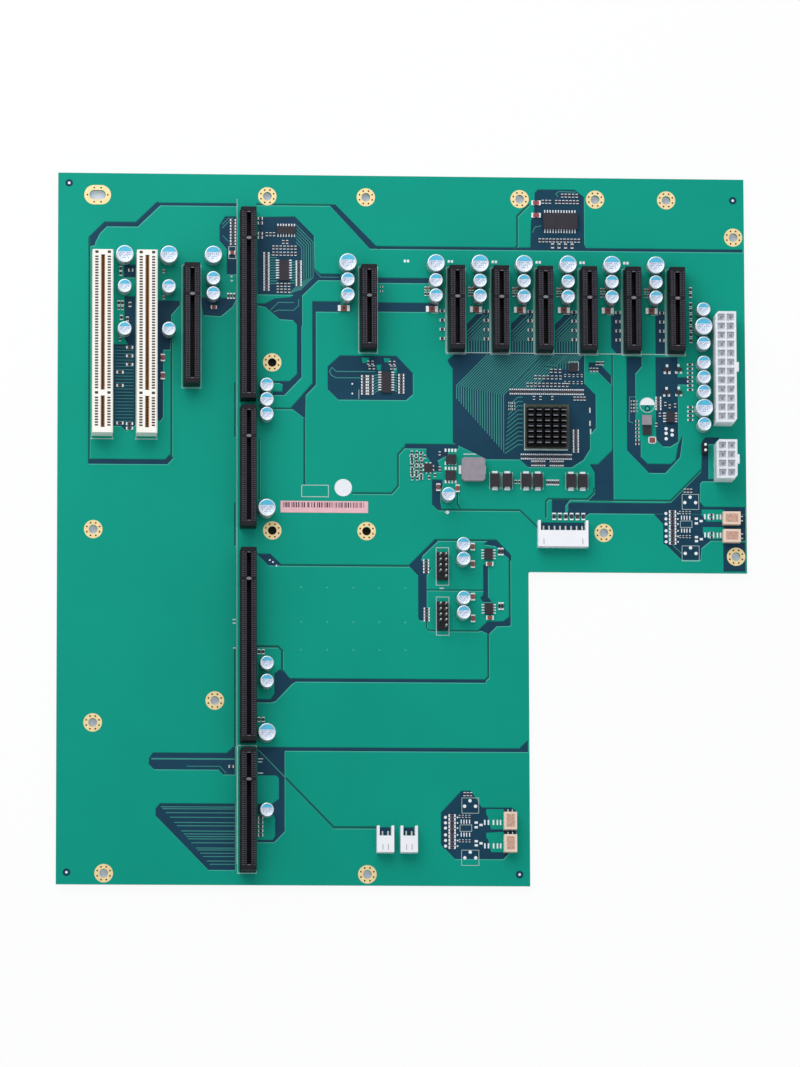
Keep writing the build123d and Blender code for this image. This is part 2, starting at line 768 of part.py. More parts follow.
# Leadless chips, transistors and coils
quad_spots = [from_corner(*place) for place in quad_chip_places]
transistor_spots = [from_corner(x, inset) for x in transistor_x for inset in transistor_insets]
power_spots = [from_corner(*place) for place in power_transistor_places]
save(flat_parts(quad_spots, quad_chip_size), "leadless_chips")
save(flat_parts(transistor_spots, transistor_size), "small_transistors")
save(flat_parts(power_spots, power_transistor_size), "power_transistors")
with BuildPart() as choke:
    with BuildSketch(Plane.XY.offset(board_top)) as outline:
        with Locations(from_corner(*choke_place)):
            Rectangle(choke_size, choke_size)
        chamfer(outline.vertices(), choke_chamfer)
    extrude(amount=choke_height)
save(choke, "power_choke")
small_choke_box = (small_choke_size, small_choke_size, small_choke_height)
save(flat_parts([from_corner(*small_choke_place)], small_choke_box), "small_choke")

# Tantalum capacitors and chip parts, which lie along Y
tantalum_spots = [from_corner(x, tantalum_inset) for x in tantalum_x]
save(flat_parts(tantalum_spots, tantalum_size), "tantalum_capacitors")
terminal_width = tantalum_size[0] - 2 * tantalum_shoulder
save(
    end_terminals(tantalum_spots, tantalum_size[1], terminal_width, tantalum_size[2] / 2, tantalum_terminal),
    "tantalum_terminals",
)
chip_y = rear - lane_rear_inset - chip_from_lane_rear
chip_x = left + first_lane_4_x - chip_to_lane_4
chip_spots = [(chip_x + place * slot_pitch, chip_y) for place in lane_4_places]
save(flat_parts(chip_spots, (chip_length, chip_width, chip_height)), "chip_capacitors")

# Paper labels
label_box = (barcode_label_length, barcode_label_width, label_thickness)
save(flat_parts([from_corner(*long_label_place)], label_box), "long_label")
with BuildPart() as round_label:
    with BuildSketch(Plane.XY.offset(board_top)):
        with Locations(from_corner(*round_label_place)):
            Circle(round_label_radius)
    extrude(amount=label_thickness)
save(round_label, "round_label")

# The board, with its mounting holes and a hole for every post and pin
computer_centre = left + computer_x
lane_hole_x = left + first_lane_4_x - hole_to_lane_4
rear_row = rear - rear_hole_inset
middle_row = upper_front + notch_to_middle_holes
hole_points = [
    (computer_centre + computer_to_rear_hole, rear_row),
    (lane_hole_x, rear_row),
    (right - edge_inset, rear - right_edge_hole_inset),
    (right - edge_inset, upper_front + notch_to_right_edge_hole),
    (computer_centre + computer_to_side_holes, rear - upper_side_hole_inset),
    (left + left_edge_hole_x, middle_row),
    (computer_centre + computer_to_side_holes, middle_row),
    (lane_hole_x, middle_row),
    (right - middle_hole_right_inset, middle_row),
    (left + lone_hole_x, front + lone_hole_from_front),
    (left + left_edge_hole_x, front + left_edge_hole_from_front),
    (left + front_left_hole_x, front + edge_inset),
    (lane_hole_x, front + edge_inset),
]
hole_points += [(right - inset, rear_row) for inset in rear_hole_right_insets]
with BuildPart() as board:
    with BuildSketch(Plane.XY.offset(pin_tail)) as outline:
        with BuildLine():
            Polyline(
                (left, front),
                (lower_right, front),
                (lower_right, upper_front),
                (right, upper_front),
                (right, rear),
                (left, rear),
                close=True,
            )
        make_face()
        notch = outline.vertices().sort_by_distance((lower_right, upper_front))[0]
        fillet(notch, notch_radius)
        with Locations(*hole_points):
            Circle(mounting_hole_radius, mode=Mode.SUBTRACT)
        with Locations((left + slotted_hole_x, rear_row)):
            SlotOverall(slotted_hole_length, slotted_hole_width, mode=Mode.SUBTRACT)
        with Locations(*post_points):
            RegularPolygon(post_radius + post_clearance, 6, mode=Mode.SUBTRACT)
        for pin_x, pin_y, pin_size in pin_points:
            with Locations((pin_x, pin_y)):
                Rectangle(pin_size, pin_size, mode=Mode.SUBTRACT)
    extrude(amount=board_thickness)
save(board, "circuit_board")
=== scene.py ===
"""The looks of a backplane board: materials, board artwork, contacts, cans, small parts, light and camera."""

import math
import random

import bmesh
import bpy
from mathutils import Matrix, Vector


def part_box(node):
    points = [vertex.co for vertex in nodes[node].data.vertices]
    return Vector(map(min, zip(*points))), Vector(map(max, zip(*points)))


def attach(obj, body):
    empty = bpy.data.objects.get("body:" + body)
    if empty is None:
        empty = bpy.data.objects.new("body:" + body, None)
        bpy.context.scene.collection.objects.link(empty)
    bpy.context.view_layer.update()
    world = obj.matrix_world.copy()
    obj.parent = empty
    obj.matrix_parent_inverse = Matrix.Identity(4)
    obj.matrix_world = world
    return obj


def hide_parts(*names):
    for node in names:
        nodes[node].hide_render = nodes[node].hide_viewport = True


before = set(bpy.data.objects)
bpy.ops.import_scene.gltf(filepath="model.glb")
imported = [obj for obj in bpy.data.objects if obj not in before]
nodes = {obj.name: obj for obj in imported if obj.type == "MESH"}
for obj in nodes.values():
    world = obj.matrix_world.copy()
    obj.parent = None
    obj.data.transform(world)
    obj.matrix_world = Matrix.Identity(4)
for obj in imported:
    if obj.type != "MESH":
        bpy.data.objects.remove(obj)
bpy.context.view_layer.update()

MM = 0.001
board_low, board_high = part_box("circuit_board")
BOARD_LEFT = board_low.x
BOARD_REAR = board_high.y
BOARD_TOP = board_high.z
random.seed(7)

# The photograph's scale on the board's upper face
PHOTO_LEFT_EDGE = 55.5
PHOTO_REAR_EDGE = 178.6
MM_PER_PIXEL_X = 0.4576
MM_PER_PIXEL_Y = 0.4674
PIXEL = 0.4625 * MM

# Heights above the board's upper face
# The two lowest carry the painted shade and the painted highlight along the pour's edges
EDGE_SHADE_HEIGHT = 0.003 * MM
EDGE_HIGHLIGHT_HEIGHT = 0.014 * MM
BARE_HEIGHT = 0.026 * MM
POUR_HEIGHT = 0.04 * MM
TRACE_HEIGHT = 0.055 * MM
PAD_HEIGHT = 0.07 * MM
SILK_HEIGHT = 0.085 * MM
STAGGER = 0.0011 * MM
STAGGER_COUNT = 8
UNDERSIDE_GAP = 0.005 * MM
PROUD = 0.02 * MM


def at(photo_point):
    """The place on the board, in metres, of a point given in the photograph's pixels."""
    x = BOARD_LEFT + (photo_point[0] - PHOTO_LEFT_EDGE) * MM_PER_PIXEL_X * MM
    y = BOARD_REAR - (photo_point[1] - PHOTO_REAR_EDGE) * MM_PER_PIXEL_Y * MM
    return Vector((x, y))


def srgb(red, green, blue):
    """A colour written as it looks on a screen, as the shader's linear values."""
    def linear(value):
        value = value / 255
        return value / 12.92 if value <= 0.04045 else ((value + 0.055) / 1.055) ** 2.4
    return (linear(red), linear(green), linear(blue), 1.0)


def middle(low, high):
    """The middle, seen from above, of a box between two corners."""
    return Vector((low.x + high.x, low.y + high.y)) / 2


def turns(count, start=0.0):
    """The angles of a full turn in equal steps."""
    return [math.tau * (k + start) / count for k in range(count)]


def arc(centre, radius, angles, flatness=1.0):
    """Points at these angles on a circle, or on an ellipse if the flatness isn't 1."""
    return [(centre[0] + radius * math.cos(angle), centre[1] + radius * flatness * math.sin(angle))
            for angle in angles]


def rectangle(x0, y0, x1, y1):
    """The corners of a rectangle."""
    return [(x0, y0), (x1, y0), (x1, y1), (x0, y1)]


def pairs(numbers):
    """The points of a run of numbers: x, y, x, y and so on."""
    return list(zip(numbers[::2], numbers[1::2]))


def outlines(runs):
    """Outlines from runs of numbers, of which four are two corners of a rectangle."""
    return [rectangle(*run) if len(run) == 4 else pairs(run) for run in runs]


def set_inputs(node, **values):
    """Sets a shader node's inputs; an underscore stands for a space of the input's name."""
    for name, value in values.items():
        node.inputs[name.replace("_", " ")].default_value = value


def add_node(tree, kind, **values):
    """A new shader node with these input values."""
    node = tree.nodes.new("ShaderNode" + kind)
    set_inputs(node, **values)
    return node


def connect(tree, *links):
    """Links shader nodes: a node and its output, then a node and its input."""
    for source, output, target, entry in links:
        tree.links.new(source.outputs[output], target.inputs[entry])


def add_object(name, data):
    """A new object in the scene."""
    thing = bpy.data.objects.new(name, data)
    bpy.context.scene.collection.objects.link(thing)
    return thing


def add_mesh(name, vertices, faces, *materials):
    """A new mesh object with its materials."""
    mesh = bpy.data.meshes.new(name)
    mesh.from_pydata(vertices, [], faces)
    for material in materials:
        mesh.materials.append(material)
    return add_object(name, mesh)


SCATTER_DEPTH = 4 * MM
BUMP_DEPTH = 0.02 * MM
NOISE_LOW, NOISE_HIGH = 0.3, 0.7
LEAST_ROUGHNESS = 0.03


def finish(name, tone, contrast=0.1, rough=0.5, patch=300, rough_spread=0.12, grain=2500, bump=0.12,
           metallic=0.0, specular=0.35, stretch=(1, 1, 1), scatter=0.0):
    """A material of this tone, whose colour and gloss vary in patches, with a fine grain in its surface."""
    material = bpy.data.materials.new(name)
    material.use_nodes = True
    tree = material.node_tree
    tree.nodes.clear()
    output = add_node(tree, "OutputMaterial")
    shader = add_node(tree, "BsdfPrincipled", Metallic=metallic, Specular_IOR_Level=specular)
    coordinates = add_node(tree, "TexCoord")
    mapping = add_node(tree, "Mapping", Scale=stretch)
    patches = add_node(tree, "TexNoise", Scale=patch, Detail=5)
    ramp = add_node(tree, "ValToRGB")
    shares = (1 - contrast, 1 + contrast)
    for stop, position, share in zip(ramp.color_ramp.elements, (NOISE_LOW, NOISE_HIGH), shares):
        stop.position = position
        stop.color = [min(1, value * share) for value in srgb(*tone)[:3]] + [1]
    fine = add_node(tree, "TexNoise", Scale=grain, Detail=3)
    gloss = add_node(tree, "MapRange", From_Min=NOISE_LOW, From_Max=NOISE_HIGH,
                     To_Min=max(LEAST_ROUGHNESS, rough - rough_spread), To_Max=min(1, rough + rough_spread))
    surface = add_node(tree, "Bump", Strength=bump, Distance=BUMP_DEPTH)
    connect(
        tree, (coordinates, "Object", mapping, "Vector"), (mapping, "Vector", patches, "Vector"),
        (mapping, "Vector", fine, "Vector"), (patches, "Fac", ramp, "Fac"),
        (ramp, "Color", shader, "Base Color"), (fine, "Fac", gloss, "Value"),
        (gloss, "Result", shader, "Roughness"), (fine, "Fac", surface, "Height"),
        (surface, "Normal", shader, "Normal"), (shader, "BSDF", output, "Surface"))
    if scatter:
        set_inputs(shader, Subsurface_Weight=scatter, Subsurface_Scale=SCATTER_DEPTH,
                   Subsurface_Radius=(1, 1, 1))
    return material


# The looks: name, colour, contrast of the patches, roughness, scale of the patches, and what else differs
MASK = finish("solder_mask", (0, 153, 131), 0.05, 0.5, 14, grain=900, bump=0.1, specular=0.12)
# Bare laminate's own colour; the same material paints the shade behind the white headers
BARE_AND_SHADE = finish("bare_laminate", (18, 62, 84), 0.12, 0.5, 60, specular=0.15)
GAP = finish("mask_gap", (8, 88, 82), 0.08, 0.5, 60, specular=0.15)
TRACE = finish("masked_trace", (58, 142, 132), 0.1, 0.45, 80, specular=0.2)
# Painted highlight and painted shade for the pour's edges; the light green is also the dots' own colour
EDGE_HIGHLIGHT_AND_DOT_GREEN = finish("painted_edge_highlight_and_dot_green", (74, 178, 158), 0.06, 0.45, 80, specular=0.2)
PAINTED_EDGE_SHADE = finish("painted_edge_shade", (0, 120, 100), 0.06, 0.45, 80, specular=0.12)
SILK = finish("silkscreen", (196, 212, 208), 0.08, 0.8, bump=0.3, specular=0.2)
GOLD = finish("gold_plating", (250, 222, 164), 0.06, 0.45, 400, metallic=0.2)
VIA = finish("via_dark", (72, 46, 34), 0.2, 0.6, 900)
TIN = finish("tin_pad", (244, 246, 248), 0.05, 0.45, 900, metallic=0.05)
LEAD = finish("lead_tin", (232, 234, 238), 0.08, 0.4, 700, metallic=0.2)
PIN = finish("pin_tin", (220, 218, 212), 0.1, 0.3, 500, metallic=0.5)
SOCKET_BLACK = finish("socket_black", (24, 22, 28), 0.16, 0.5, 120, grain=3200, bump=0.25, specular=0.22)
# A lighter copy of the black moulding: painted highlights on the card sockets' ribs and ridges
SOCKET_RIB_HIGHLIGHT = finish("socket_rib_highlight", (84, 78, 90), 0.15, grain=3200, specular=0.2)
# Painted highlights on the black moulding at the card slots' ends and key
SOCKET_KEY_HIGHLIGHT = finish("socket_key_highlight", (126, 124, 130), 0.12, grain=3200, specular=0.2)
CONTACT = finish("contact_gold", (212, 152, 88), 0.15, 0.4, 500, metallic=0.2)
# Dark brown of the bus sockets' cavities and card slot: partly the contacts inside, partly painted shade
WINDOW_SHADE = finish("contact_window_shade", (66, 42, 38), 0.2, 0.6, 500)
SOCKET_CREAM = finish("socket_cream", (253, 248, 238), 0.04, 0.5, 90, grain=2800, bump=0.2)
NYLON = finish("inlet_nylon", (242, 245, 251), 0.04, 0.38, 70, grain=1500, bump=0.15, scatter=0.65)
WHITE_MOULDING = finish("header_white", (250, 248, 252), 0.03, 0.45, 100, bump=0.15)
# Grey that paints the shade of the white headers' grooves, and of the pins in the inlets' cells
SHADE_GREY = finish("slit_and_pin_tip_shade_grey", (150, 146, 158), 0.1, 0.5, 200)
BEIGE_MOULDING = finish("header_beige", (242, 216, 196), 0.06, 0.5, 150, bump=0.2)
# The beige headers' hollows: partly their own darker inside, partly painted shade of the recess
BEIGE_HOLLOW_SHADE = finish("header_beige_hollow_shade", (208, 164, 144), 0.3, 0.5, 1400, bump=0.2)
BLACK_MOULDING = finish("header_black", (30, 26, 32), 0.15, 0.5, 150, specular=0.25)
CAN = finish("can_aluminium", (236, 240, 246), 0.05, 0.3, 240, rough_spread=0.08, metallic=0.7,
             stretch=(1, 1, 8))
CAN_TOP = finish("can_top", (224, 232, 244), 0.06, 0.5, 500, metallic=0.12)
CAN_MARK = finish("can_mark", (84, 188, 220), 0.08, 0.45, 500)
CAN_PRINT = finish("can_print", (132, 148, 186), 0.1, 0.5, 500)
CAN_BASE = finish("can_base", (40, 38, 44), 0.12)
CHIP = finish("chip_moulding", (44, 40, 48), 0.16, 0.55, 260, grain=4500, bump=0.35)
SUBSTRATE = finish("chip_substrate", (66, 72, 60), 0.1, 0.5, 260)
SINK = finish("sink_anodised", (9, 8, 12), 0.2, grain=3000, specular=0.2)
# Painted highlight on the black fins' edges
SINK_EDGE_HIGHLIGHT = finish("sink_edge_highlight", (138, 138, 148), 0.15, 0.4, metallic=0.3)
FERRITE = finish("choke_ferrite", (150, 142, 150), 0.1, 0.55, grain=5000, bump=0.5)
TANTALUM = finish("tantalum_case", (40, 34, 42), 0.15)
CERAMIC = finish("chip_ceramic", (136, 76, 66), 0.12, 0.4, 600)
RESISTOR = finish("resistor_body", (54, 46, 56), 0.2, 0.4, 900)
RED_CHIP = finish("red_chip", (150, 70, 72), 0.15, 0.45, 900)
PAPER = finish("label_paper", (238, 186, 192), 0.05, 0.8, bump=0.3)
PAPER_WHITE = finish("label_white", (240, 240, 244), 0.04, 0.8, bump=0.3)
INK = finish("label_ink", (66, 46, 60), 0.1, 0.8)


class Layer:
    """Closed flat shapes and blocks gathered into one mesh."""

    def __init__(self, high=PAD_HEIGHT):
        self.vertices = []
        self.faces = []
        self.high = high
        self.count = 0

    def prism(self, outline, low=-UNDERSIDE_GAP, high=None):
        """A prism over an outline given in metres, between two heights above the board."""
        if high is None:
            high = self.high + (self.count % STAGGER_COUNT) * STAGGER
            self.count += 1
        area = sum(a[0] * b[1] - b[0] * a[1] for a, b in zip(outline, outline[1:] + outline[:1]))
        if area < 0:
            outline = outline[::-1]
        first, count = len(self.vertices), len(outline)
        self.vertices += [(x, y, BOARD_TOP + low) for x, y in outline]
        self.vertices += [(x, y, BOARD_TOP + high) for x, y in outline]
        self.faces.append([first + k for k in reversed(range(count))])
        self.faces.append([first + count + k for k in range(count)])
        for k in range(count):
            after = (k + 1) % count
            self.faces.append([first + k, first + after, first + count + after, first + count + k])

    def plate(self, *photo_points):
        """A flat shape whose corners are points of the photograph."""
        self.prism([tuple(at(p)) for p in photo_points])

    def ribbon(self, width, photo_points):
        """A line of that width in pixels along points of the photograph, mitred at its corners."""
        points = [at(p) for p in photo_points]
        half = width * PIXEL / 2
        runs = [(b - a).normalized() for a, b in zip(points, points[1:])]
        left, right = [], []
        for k, point in enumerate(points):
            before, after = runs[max(0, k - 1)], runs[min(k, len(runs) - 1)]
            across_before = Vector((-before.y, before.x))
            across_after = Vector((-after.y, after.x))
            mitre = (across_before + across_after) / (1 + across_before.dot(across_after))
            left.append(tuple(point + mitre * half))
            right.append(tuple(point - mitre * half))
        self.prism(left + right[::-1])

    def block(self, centre, size, low=-UNDERSIDE_GAP, high=None):
        """A box with its centre and size in metres."""
        (x, y), (w, d) = centre, (size[0] / 2, size[1] / 2)
        self.prism(rectangle(x - w, y - d, x + w, y + d), low, high)

    def cover(self, centre, size, top):
        """A thin box that stands proud of a face at this height above the board."""
        self.block(centre, size, top - UNDERSIDE_GAP, top + PROUD)

    def disc(self, centre, radius, sides, low=-UNDERSIDE_GAP, high=None):
        """A round plate."""
        self.prism(arc(centre, radius, turns(sides)), low, high)

    def ring(self, inner, outer):
        """A flat ring between two outlines with the same number of points."""
        first, count = len(self.vertices), len(inner)
        for height in (-UNDERSIDE_GAP, self.high):
            for outline in (inner, outer):
                self.vertices += [(x, y, BOARD_TOP + height) for x, y in outline]
        for a, b in ((0, 1), (3, 2), (2, 0), (1, 3)):
            near, far = first + a * count, first + b * count
            for k in range(count):
                after = (k + 1) % count
                self.faces.append([near + k, near + after, far + after, far + k])

    def build(self, name, material, slot="board_laminate"):
        """The finished piece, riding on the board."""
        piece = add_mesh(name, self.vertices, self.faces, material)
        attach(piece, "root")


def wear(node_names, material):
    """Gives CAD nodes their finished material."""
    for name in node_names:
        nodes[name].data.materials.clear()
        nodes[name].data.materials.append(material)


def starting(*beginnings):
    """The CAD nodes whose names start in one of these ways."""
    return [name for name in sorted(nodes) if name.startswith(beginnings)]


pin_nodes = [name for name in sorted(nodes) if name.endswith("_pins")]
wear(["circuit_board"], MASK)
wear(starting("computer_socket", "lane_socket"), SOCKET_BLACK)
wear(starting("bus_socket"), SOCKET_CREAM)
wear(["long_power_inlet", "short_power_inlet"], NYLON)
wear(["eight_way_header", "two_way_header_left", "two_way_header_right"], WHITE_MOULDING)
beige_headers = [name for name in starting("beige_header_") if name not in pin_nodes]
wear(beige_headers, BEIGE_MOULDING)
wear(["pin_header_rear", "pin_header_front", "jumper_header"], BLACK_MOULDING)
wear(pin_nodes, PIN)
wear(["chip_leads", "tantalum_terminals"], LEAD)
wear(["switch_chip"], SUBSTRATE)
wear(["heat_sink"], SINK)
wear(["wide_chip", "narrow_chip", "small_chips", "fine_lead_chips", "leadless_chips", "small_transistors",
      "power_transistors"], CHIP)
wear(["power_choke", "small_choke"], FERRITE)
wear(["tantalum_capacitors"], TANTALUM)
wear(["chip_capacitors"], CERAMIC)
wear(["long_label"], PAPER)
wear(["round_label"], PAPER_WHITE)

# Where the copper pour is left out: outlines in the photograph's pixels, as runs of x and y
BARE_SHAPES = [
    # left of the white sockets and between them
    (86.2, 262, 86.2, 243.2, 102.2, 227.5, 105, 227.5, 105, 232.1, 104.4, 232.1, 97.5, 239, 93.1, 247.7,
     92.5, 251, 88, 252),
    (155, 306, 178, 306, 178, 310, 169.3, 320, 168.5, 354.8, 161.2, 354.8, 161.2, 422, 158, 426.4, 154.5,
     422, 154.5, 354.8, 155, 343),
    (122, 270.5, 133.5, 283), (122.5, 302, 133.3, 302, 133.3, 350, 126, 350, 122.5, 344),
    (111.5, 350, 133.3, 350, 133.3, 430, 124, 436, 119, 431, 111.5, 431),
    # left of the computer column
    (218, 230, 223.5, 221, 235, 221, 235, 279, 225.3, 279, 225.3, 254, 218, 245.6),
    (198.6, 302.7, 235, 302.7, 231, 311, 219, 321, 201.8, 320),
    # right of the computer column
    (256, 221.5, 293.8, 220.4, 312.9, 239.4, 313.6, 272.6, 319.2, 277.5, 340, 277.5, 340, 283.9, 317.1,
     283.9, 301, 299.4, 301, 330, 295.9, 329, 291.7, 324, 278.3, 323.3, 264.2, 311.4, 256, 309.6, 256, 308,
     264.2, 307.8, 273.4, 302.9, 289.6, 301.3, 292.4, 298.7, 256, 298.7),
    (328.2, 208, 334.7, 208, 376, 249.3, 378.3, 249.3, 378.3, 251.9, 369.3, 251.9),
    (295.9, 328.5, 300.3, 329.5, 300.3, 380.9, 282.9, 399, 271.5, 399, 271.5, 395.6, 280.9, 395.6, 281.6,
     388.9, 278.2, 386.9, 271.5, 386.9, 271.5, 385.2, 288.3, 385.2, 295.9, 377.9),
    (311.3, 305.2, 340, 305.2, 340, 315.4, 314.8, 315.4, 314.8, 388.3, 304.5, 399, 304.1, 422.4, 289.6,
     411.7, 311.3, 387),
    (339.1, 359.1, 396.1, 359.1, 412.4, 376.2, 412.4, 397, 405.4, 403, 337.1, 403, 326.7, 392.9, 326.7,
     370.2),
    (376.7, 281, 436, 286), (376.7, 305.8, 436, 314.8),
    # round the wide chip
    (536.4, 194.4, 539.6, 190.8, 577, 190.8, 586.2, 198, 586.2, 245, 588.6, 250.5, 531.7, 250.5, 532.5, 223,
     535.6, 214, 536.4, 201),
    # round the switch chip
    (456.2, 355.4, 447.5, 362.8, 448.8, 366.2, 452.6, 371.5, 452.6, 445.2, 458.2, 447.9, 475.6, 455.9, 486.3,
     461.2, 519.8, 461.2, 527.9, 468.6, 572, 468.6, 584, 461, 590.8, 450, 590.8, 435.8, 596.8, 429.1, 596.8,
     396.3, 585.4, 384.9, 585.4, 355.4),
    # between the last sockets and the power inlets
    (613, 315, 624, 315, 624, 354.6, 618, 354.6, 613, 349), (657.8, 311.5, 668, 354.6),
    (628.3, 358, 643.5, 358, 643.5, 367, 637, 374.6, 637, 440, 642, 442, 642, 457.7, 649, 464.6, 672.3,
     464.6, 677, 460.8, 680, 445, 684.6, 436, 681.5, 457.7, 666.5, 473.5, 650, 473.5, 628.3, 451.5),
    (657.7, 358, 680, 358, 680, 442, 672, 447, 664, 447, 657.7, 440), (680, 378, 692, 385),
    (704.4, 441.5, 707.6, 437.8, 722, 437.8, 716, 444.3, 710.3, 444.3, 710.3, 479.3, 722, 479.3, 722, 481.4,
     704, 481.4, 701.5, 484, 701.5, 502, 705.5, 507, 747, 507, 747, 514.2, 589.5, 514.2, 586, 517, 568, 517,
     568, 504.8, 572, 503.8, 665.7, 503.8, 672, 503, 703, 472),
    (590.5, 465.5, 598.5, 465.5, 613.6, 451, 613.6, 500.6, 589.5, 500.6, 595.4, 494.6, 595.4, 474),
    (590, 364, 600, 364, 612.5, 377, 612.5, 386, 600, 373.5, 590, 373.5),
    (552, 500.8, 570, 500.8, 565.5, 507, 565.5, 514, 552, 514),
    # round the power circuit under the sockets
    (425.8, 451, 447.5, 451, 447.5, 457, 437, 463, 441, 474, 431, 474, 429, 463, 425.8, 458),
    (431.4, 482, 442, 482, 442, 488, 439.5, 494, 439.5, 504, 441, 511, 437.5, 512.5, 431.4, 506.8),
    # round the two pin headers
    (407.4, 567.5, 434.5, 540.9, 437, 542.9, 421.5, 557.5, 420.2, 562, 430, 570, 425.6, 577, 425.6, 621.8,
     419, 621.8, 417.2, 619.5, 417.2, 577.5),
    (487.5, 541.9, 496, 541.9, 509.8, 555.6, 509.8, 561, 500, 553, 495, 547.5, 483, 546),
    (482.5, 566, 487.2, 566, 487.2, 598, 491, 603, 482, 603, 479.5, 599, 482.5, 596),
    (477, 631.3, 486.3, 622.6, 502.4, 622, 509.8, 616.6, 509.8, 625.3, 508.4, 626.6, 495.7, 626.9, 487.7,
     634.7, 481, 631.9),
    # right of the middle of the computer column
    (255.4, 556.8, 268.8, 556.8, 279.6, 566.8, 276.2, 568.8, 266.8, 568.2),
    (272.9, 675.3, 278.2, 671.3, 281.5, 671.3, 288.2, 679.7, 293, 680, 293, 683.6, 290, 685.5, 274.2, 702,
     270, 703.5, 255.4, 703.5, 255.4, 700.5, 269, 700.5, 273, 695),
    # either side of the computer column's front end
    (256, 747.6, 283, 747.6, 283, 830, 272.5, 840.8, 256, 840.8),
    (148.2, 758.7, 152, 753.6, 225.4, 753.6, 232.4, 747.2, 233.5, 747.2, 233.5, 774.6, 221.6, 774.6, 217.1,
     769.9, 152.7, 769.9, 147.6, 765),
    (154.6, 808.4, 159, 803.3, 233.5, 803.3, 233.5, 868.1, 206.9, 868.1, 154.6, 815.4),
    (518.5, 747, 526.5, 739.5, 526.5, 750.8, 518.5, 750.8),
    # round the two unfitted circuits
    (654.6, 514.4, 747, 514.4, 747, 540.5, 712, 540.5, 702.5, 548, 701.5, 559.8, 682.3, 559.8, 664.2, 542.5,
     664.2, 525),
    (459.6, 789.6, 469.2, 789.6, 480, 805.9, 510, 805.9, 514, 809, 514, 849, 507.7, 849.8, 501.1, 856.4,
     452.9, 856.4, 439.1, 842.6, 439.1, 811.3),
]

# Pour left standing inside the bare areas
POUR_SHAPES = [
    (256, 775.3, 274.6, 775.3, 277.2, 777.8, 277.2, 798.2, 270, 803.3, 256, 803.3),
    (256, 813, 271.5, 813.5, 273.4, 817.3, 273.4, 834.6, 270.8, 838.4, 256, 838.4),
    (484.2, 807.1, 502, 807.1, 502, 827, 489, 827, 486, 815, 484.2, 812),
    (484.2, 830.5, 502, 829.5, 502, 849.4, 489, 849.4, 486, 837, 484.2, 835),
    (703, 509.5, 725, 509.5, 725, 521.5, 708, 521.5, 703, 515),
    (704, 527, 725, 527, 725, 539, 710, 539, 704, 533), (360.8, 361, 368.3, 361, 367, 366.1, 361.5, 366.1),
    (375.6, 368, 380.4, 367.6, 380, 373.6, 376.4, 373),
    (383.2, 361, 389.6, 361.4, 388.6, 365.6, 383.8, 365.2), (392, 369, 396.5, 370.4, 396, 376, 393.4, 376.5),
]

# Narrow gaps in the pour: a width, then the points of its middle line
BARE_LINES = [
    (2.6, 235.6, 209.2, 155.5, 209.2), (4.6, 157, 208.4, 134.5, 229.8, 105, 229.8),
    (1.6, 87.2, 243, 87.2, 466), (4.8, 86.4, 466.4, 164.5, 466.4, 170, 460.6), (1.6, 169.7, 462, 169.7, 343),
    (1.4, 233.5, 387.6, 233.5, 441), (1.4, 233.5, 506.8, 233.5, 549), (1.4, 233.5, 649, 233.5, 747),
    (1.4, 254.9, 208.6, 329, 208.6), (2.7, 377.5, 250.6, 746.6, 250.6), (1.4, 272.2, 412.4, 291, 412.4),
    (1.8, 303.2, 422, 303.2, 488), (1.5, 351.2, 496, 390.7, 496, 397.2, 488.7, 397.2, 457.2, 405.4, 448.4),
    (4.6, 404.4, 448.8, 458, 448.8), (1.2, 257.9, 443, 257.9, 502.8),
    (1.6, 530.5, 205.7, 518.4, 217.8, 518.4, 247.8, 513.9, 251.6), (1.2, 613.8, 356, 613.8, 500.6),
    (1.4, 589, 501.2, 672, 501.2, 703.1, 470.3), (1.5, 437.5, 511.8, 519.8, 511.8, 538.5, 529.8),
    (1.2, 456.9, 494.7, 456.9, 506, 460, 511.4),
    (1.4, 545.9, 519, 545.9, 502.8, 548.5, 500.2, 588, 500.2, 594.4, 493.6, 594.4, 489),
    (1.6, 433.6, 541.9, 495.6, 541.9, 509, 555.8, 509, 624.5),
    (1.0, 425.4, 620, 425.4, 629, 428, 631.8, 478, 631.8), (0.9, 425.4, 591.5, 483, 591.5),
    (1.6, 487.2, 634, 487.2, 677.2, 483, 681.6), (3.2, 484.6, 681.3, 292, 681.3),
    (1.6, 278, 567.8, 408, 567.8), (1.9, 255.4, 648.5, 276.7, 648.5, 280.6, 652.6, 280.6, 673),
    (3.4, 282, 749.3, 526.5, 749.3), (1.9, 284.2, 777.8, 332, 826, 376.7, 826),
]

# Light copper traces: a width, then the points of the middle line
TRACE_LINES = [
    (1.0, 257, 750.4, 284.2, 777.8), (1.6, 150, 759.4, 233, 759.4),
    (0.7, 185.2, 766.6, 218.4, 766.6, 224.6, 773.3), (0.8, 331, 371, 335, 374.8, 374.6, 374.8),
    (0.8, 330.8, 370.8, 328.4, 374.8, 330.4, 378.8, 334.8, 381.1, 359.6, 381.1),
    (0.7, 269, 314.2, 276.9, 306.4, 292.4, 306.4),
    (0.7, 272, 316, 277.2, 314.2, 292.4, 314.2, 297.4, 309.6, 297.4, 303),
    (0.7, 313.4, 274, 320, 280.7, 338, 280.7), (0.8, 220.5, 229, 227.5, 222), (0.8, 220.5, 232.5, 231, 222),
    (0.7, 221, 240, 227, 246.4), (0.8, 637, 397.7, 631, 397.7, 630.3, 422.3, 634.6, 423.8),
    (0.8, 666.5, 516.5, 669, 527, 669, 541, 683, 554), (0.8, 568, 512, 568, 504.8, 571.4, 502.2, 613, 502.2),
    (0.8, 533.8, 234, 536.4, 228.4, 543, 227), (0.8, 560, 198, 557.6, 194.6, 561, 192.4, 578, 192.8),
]

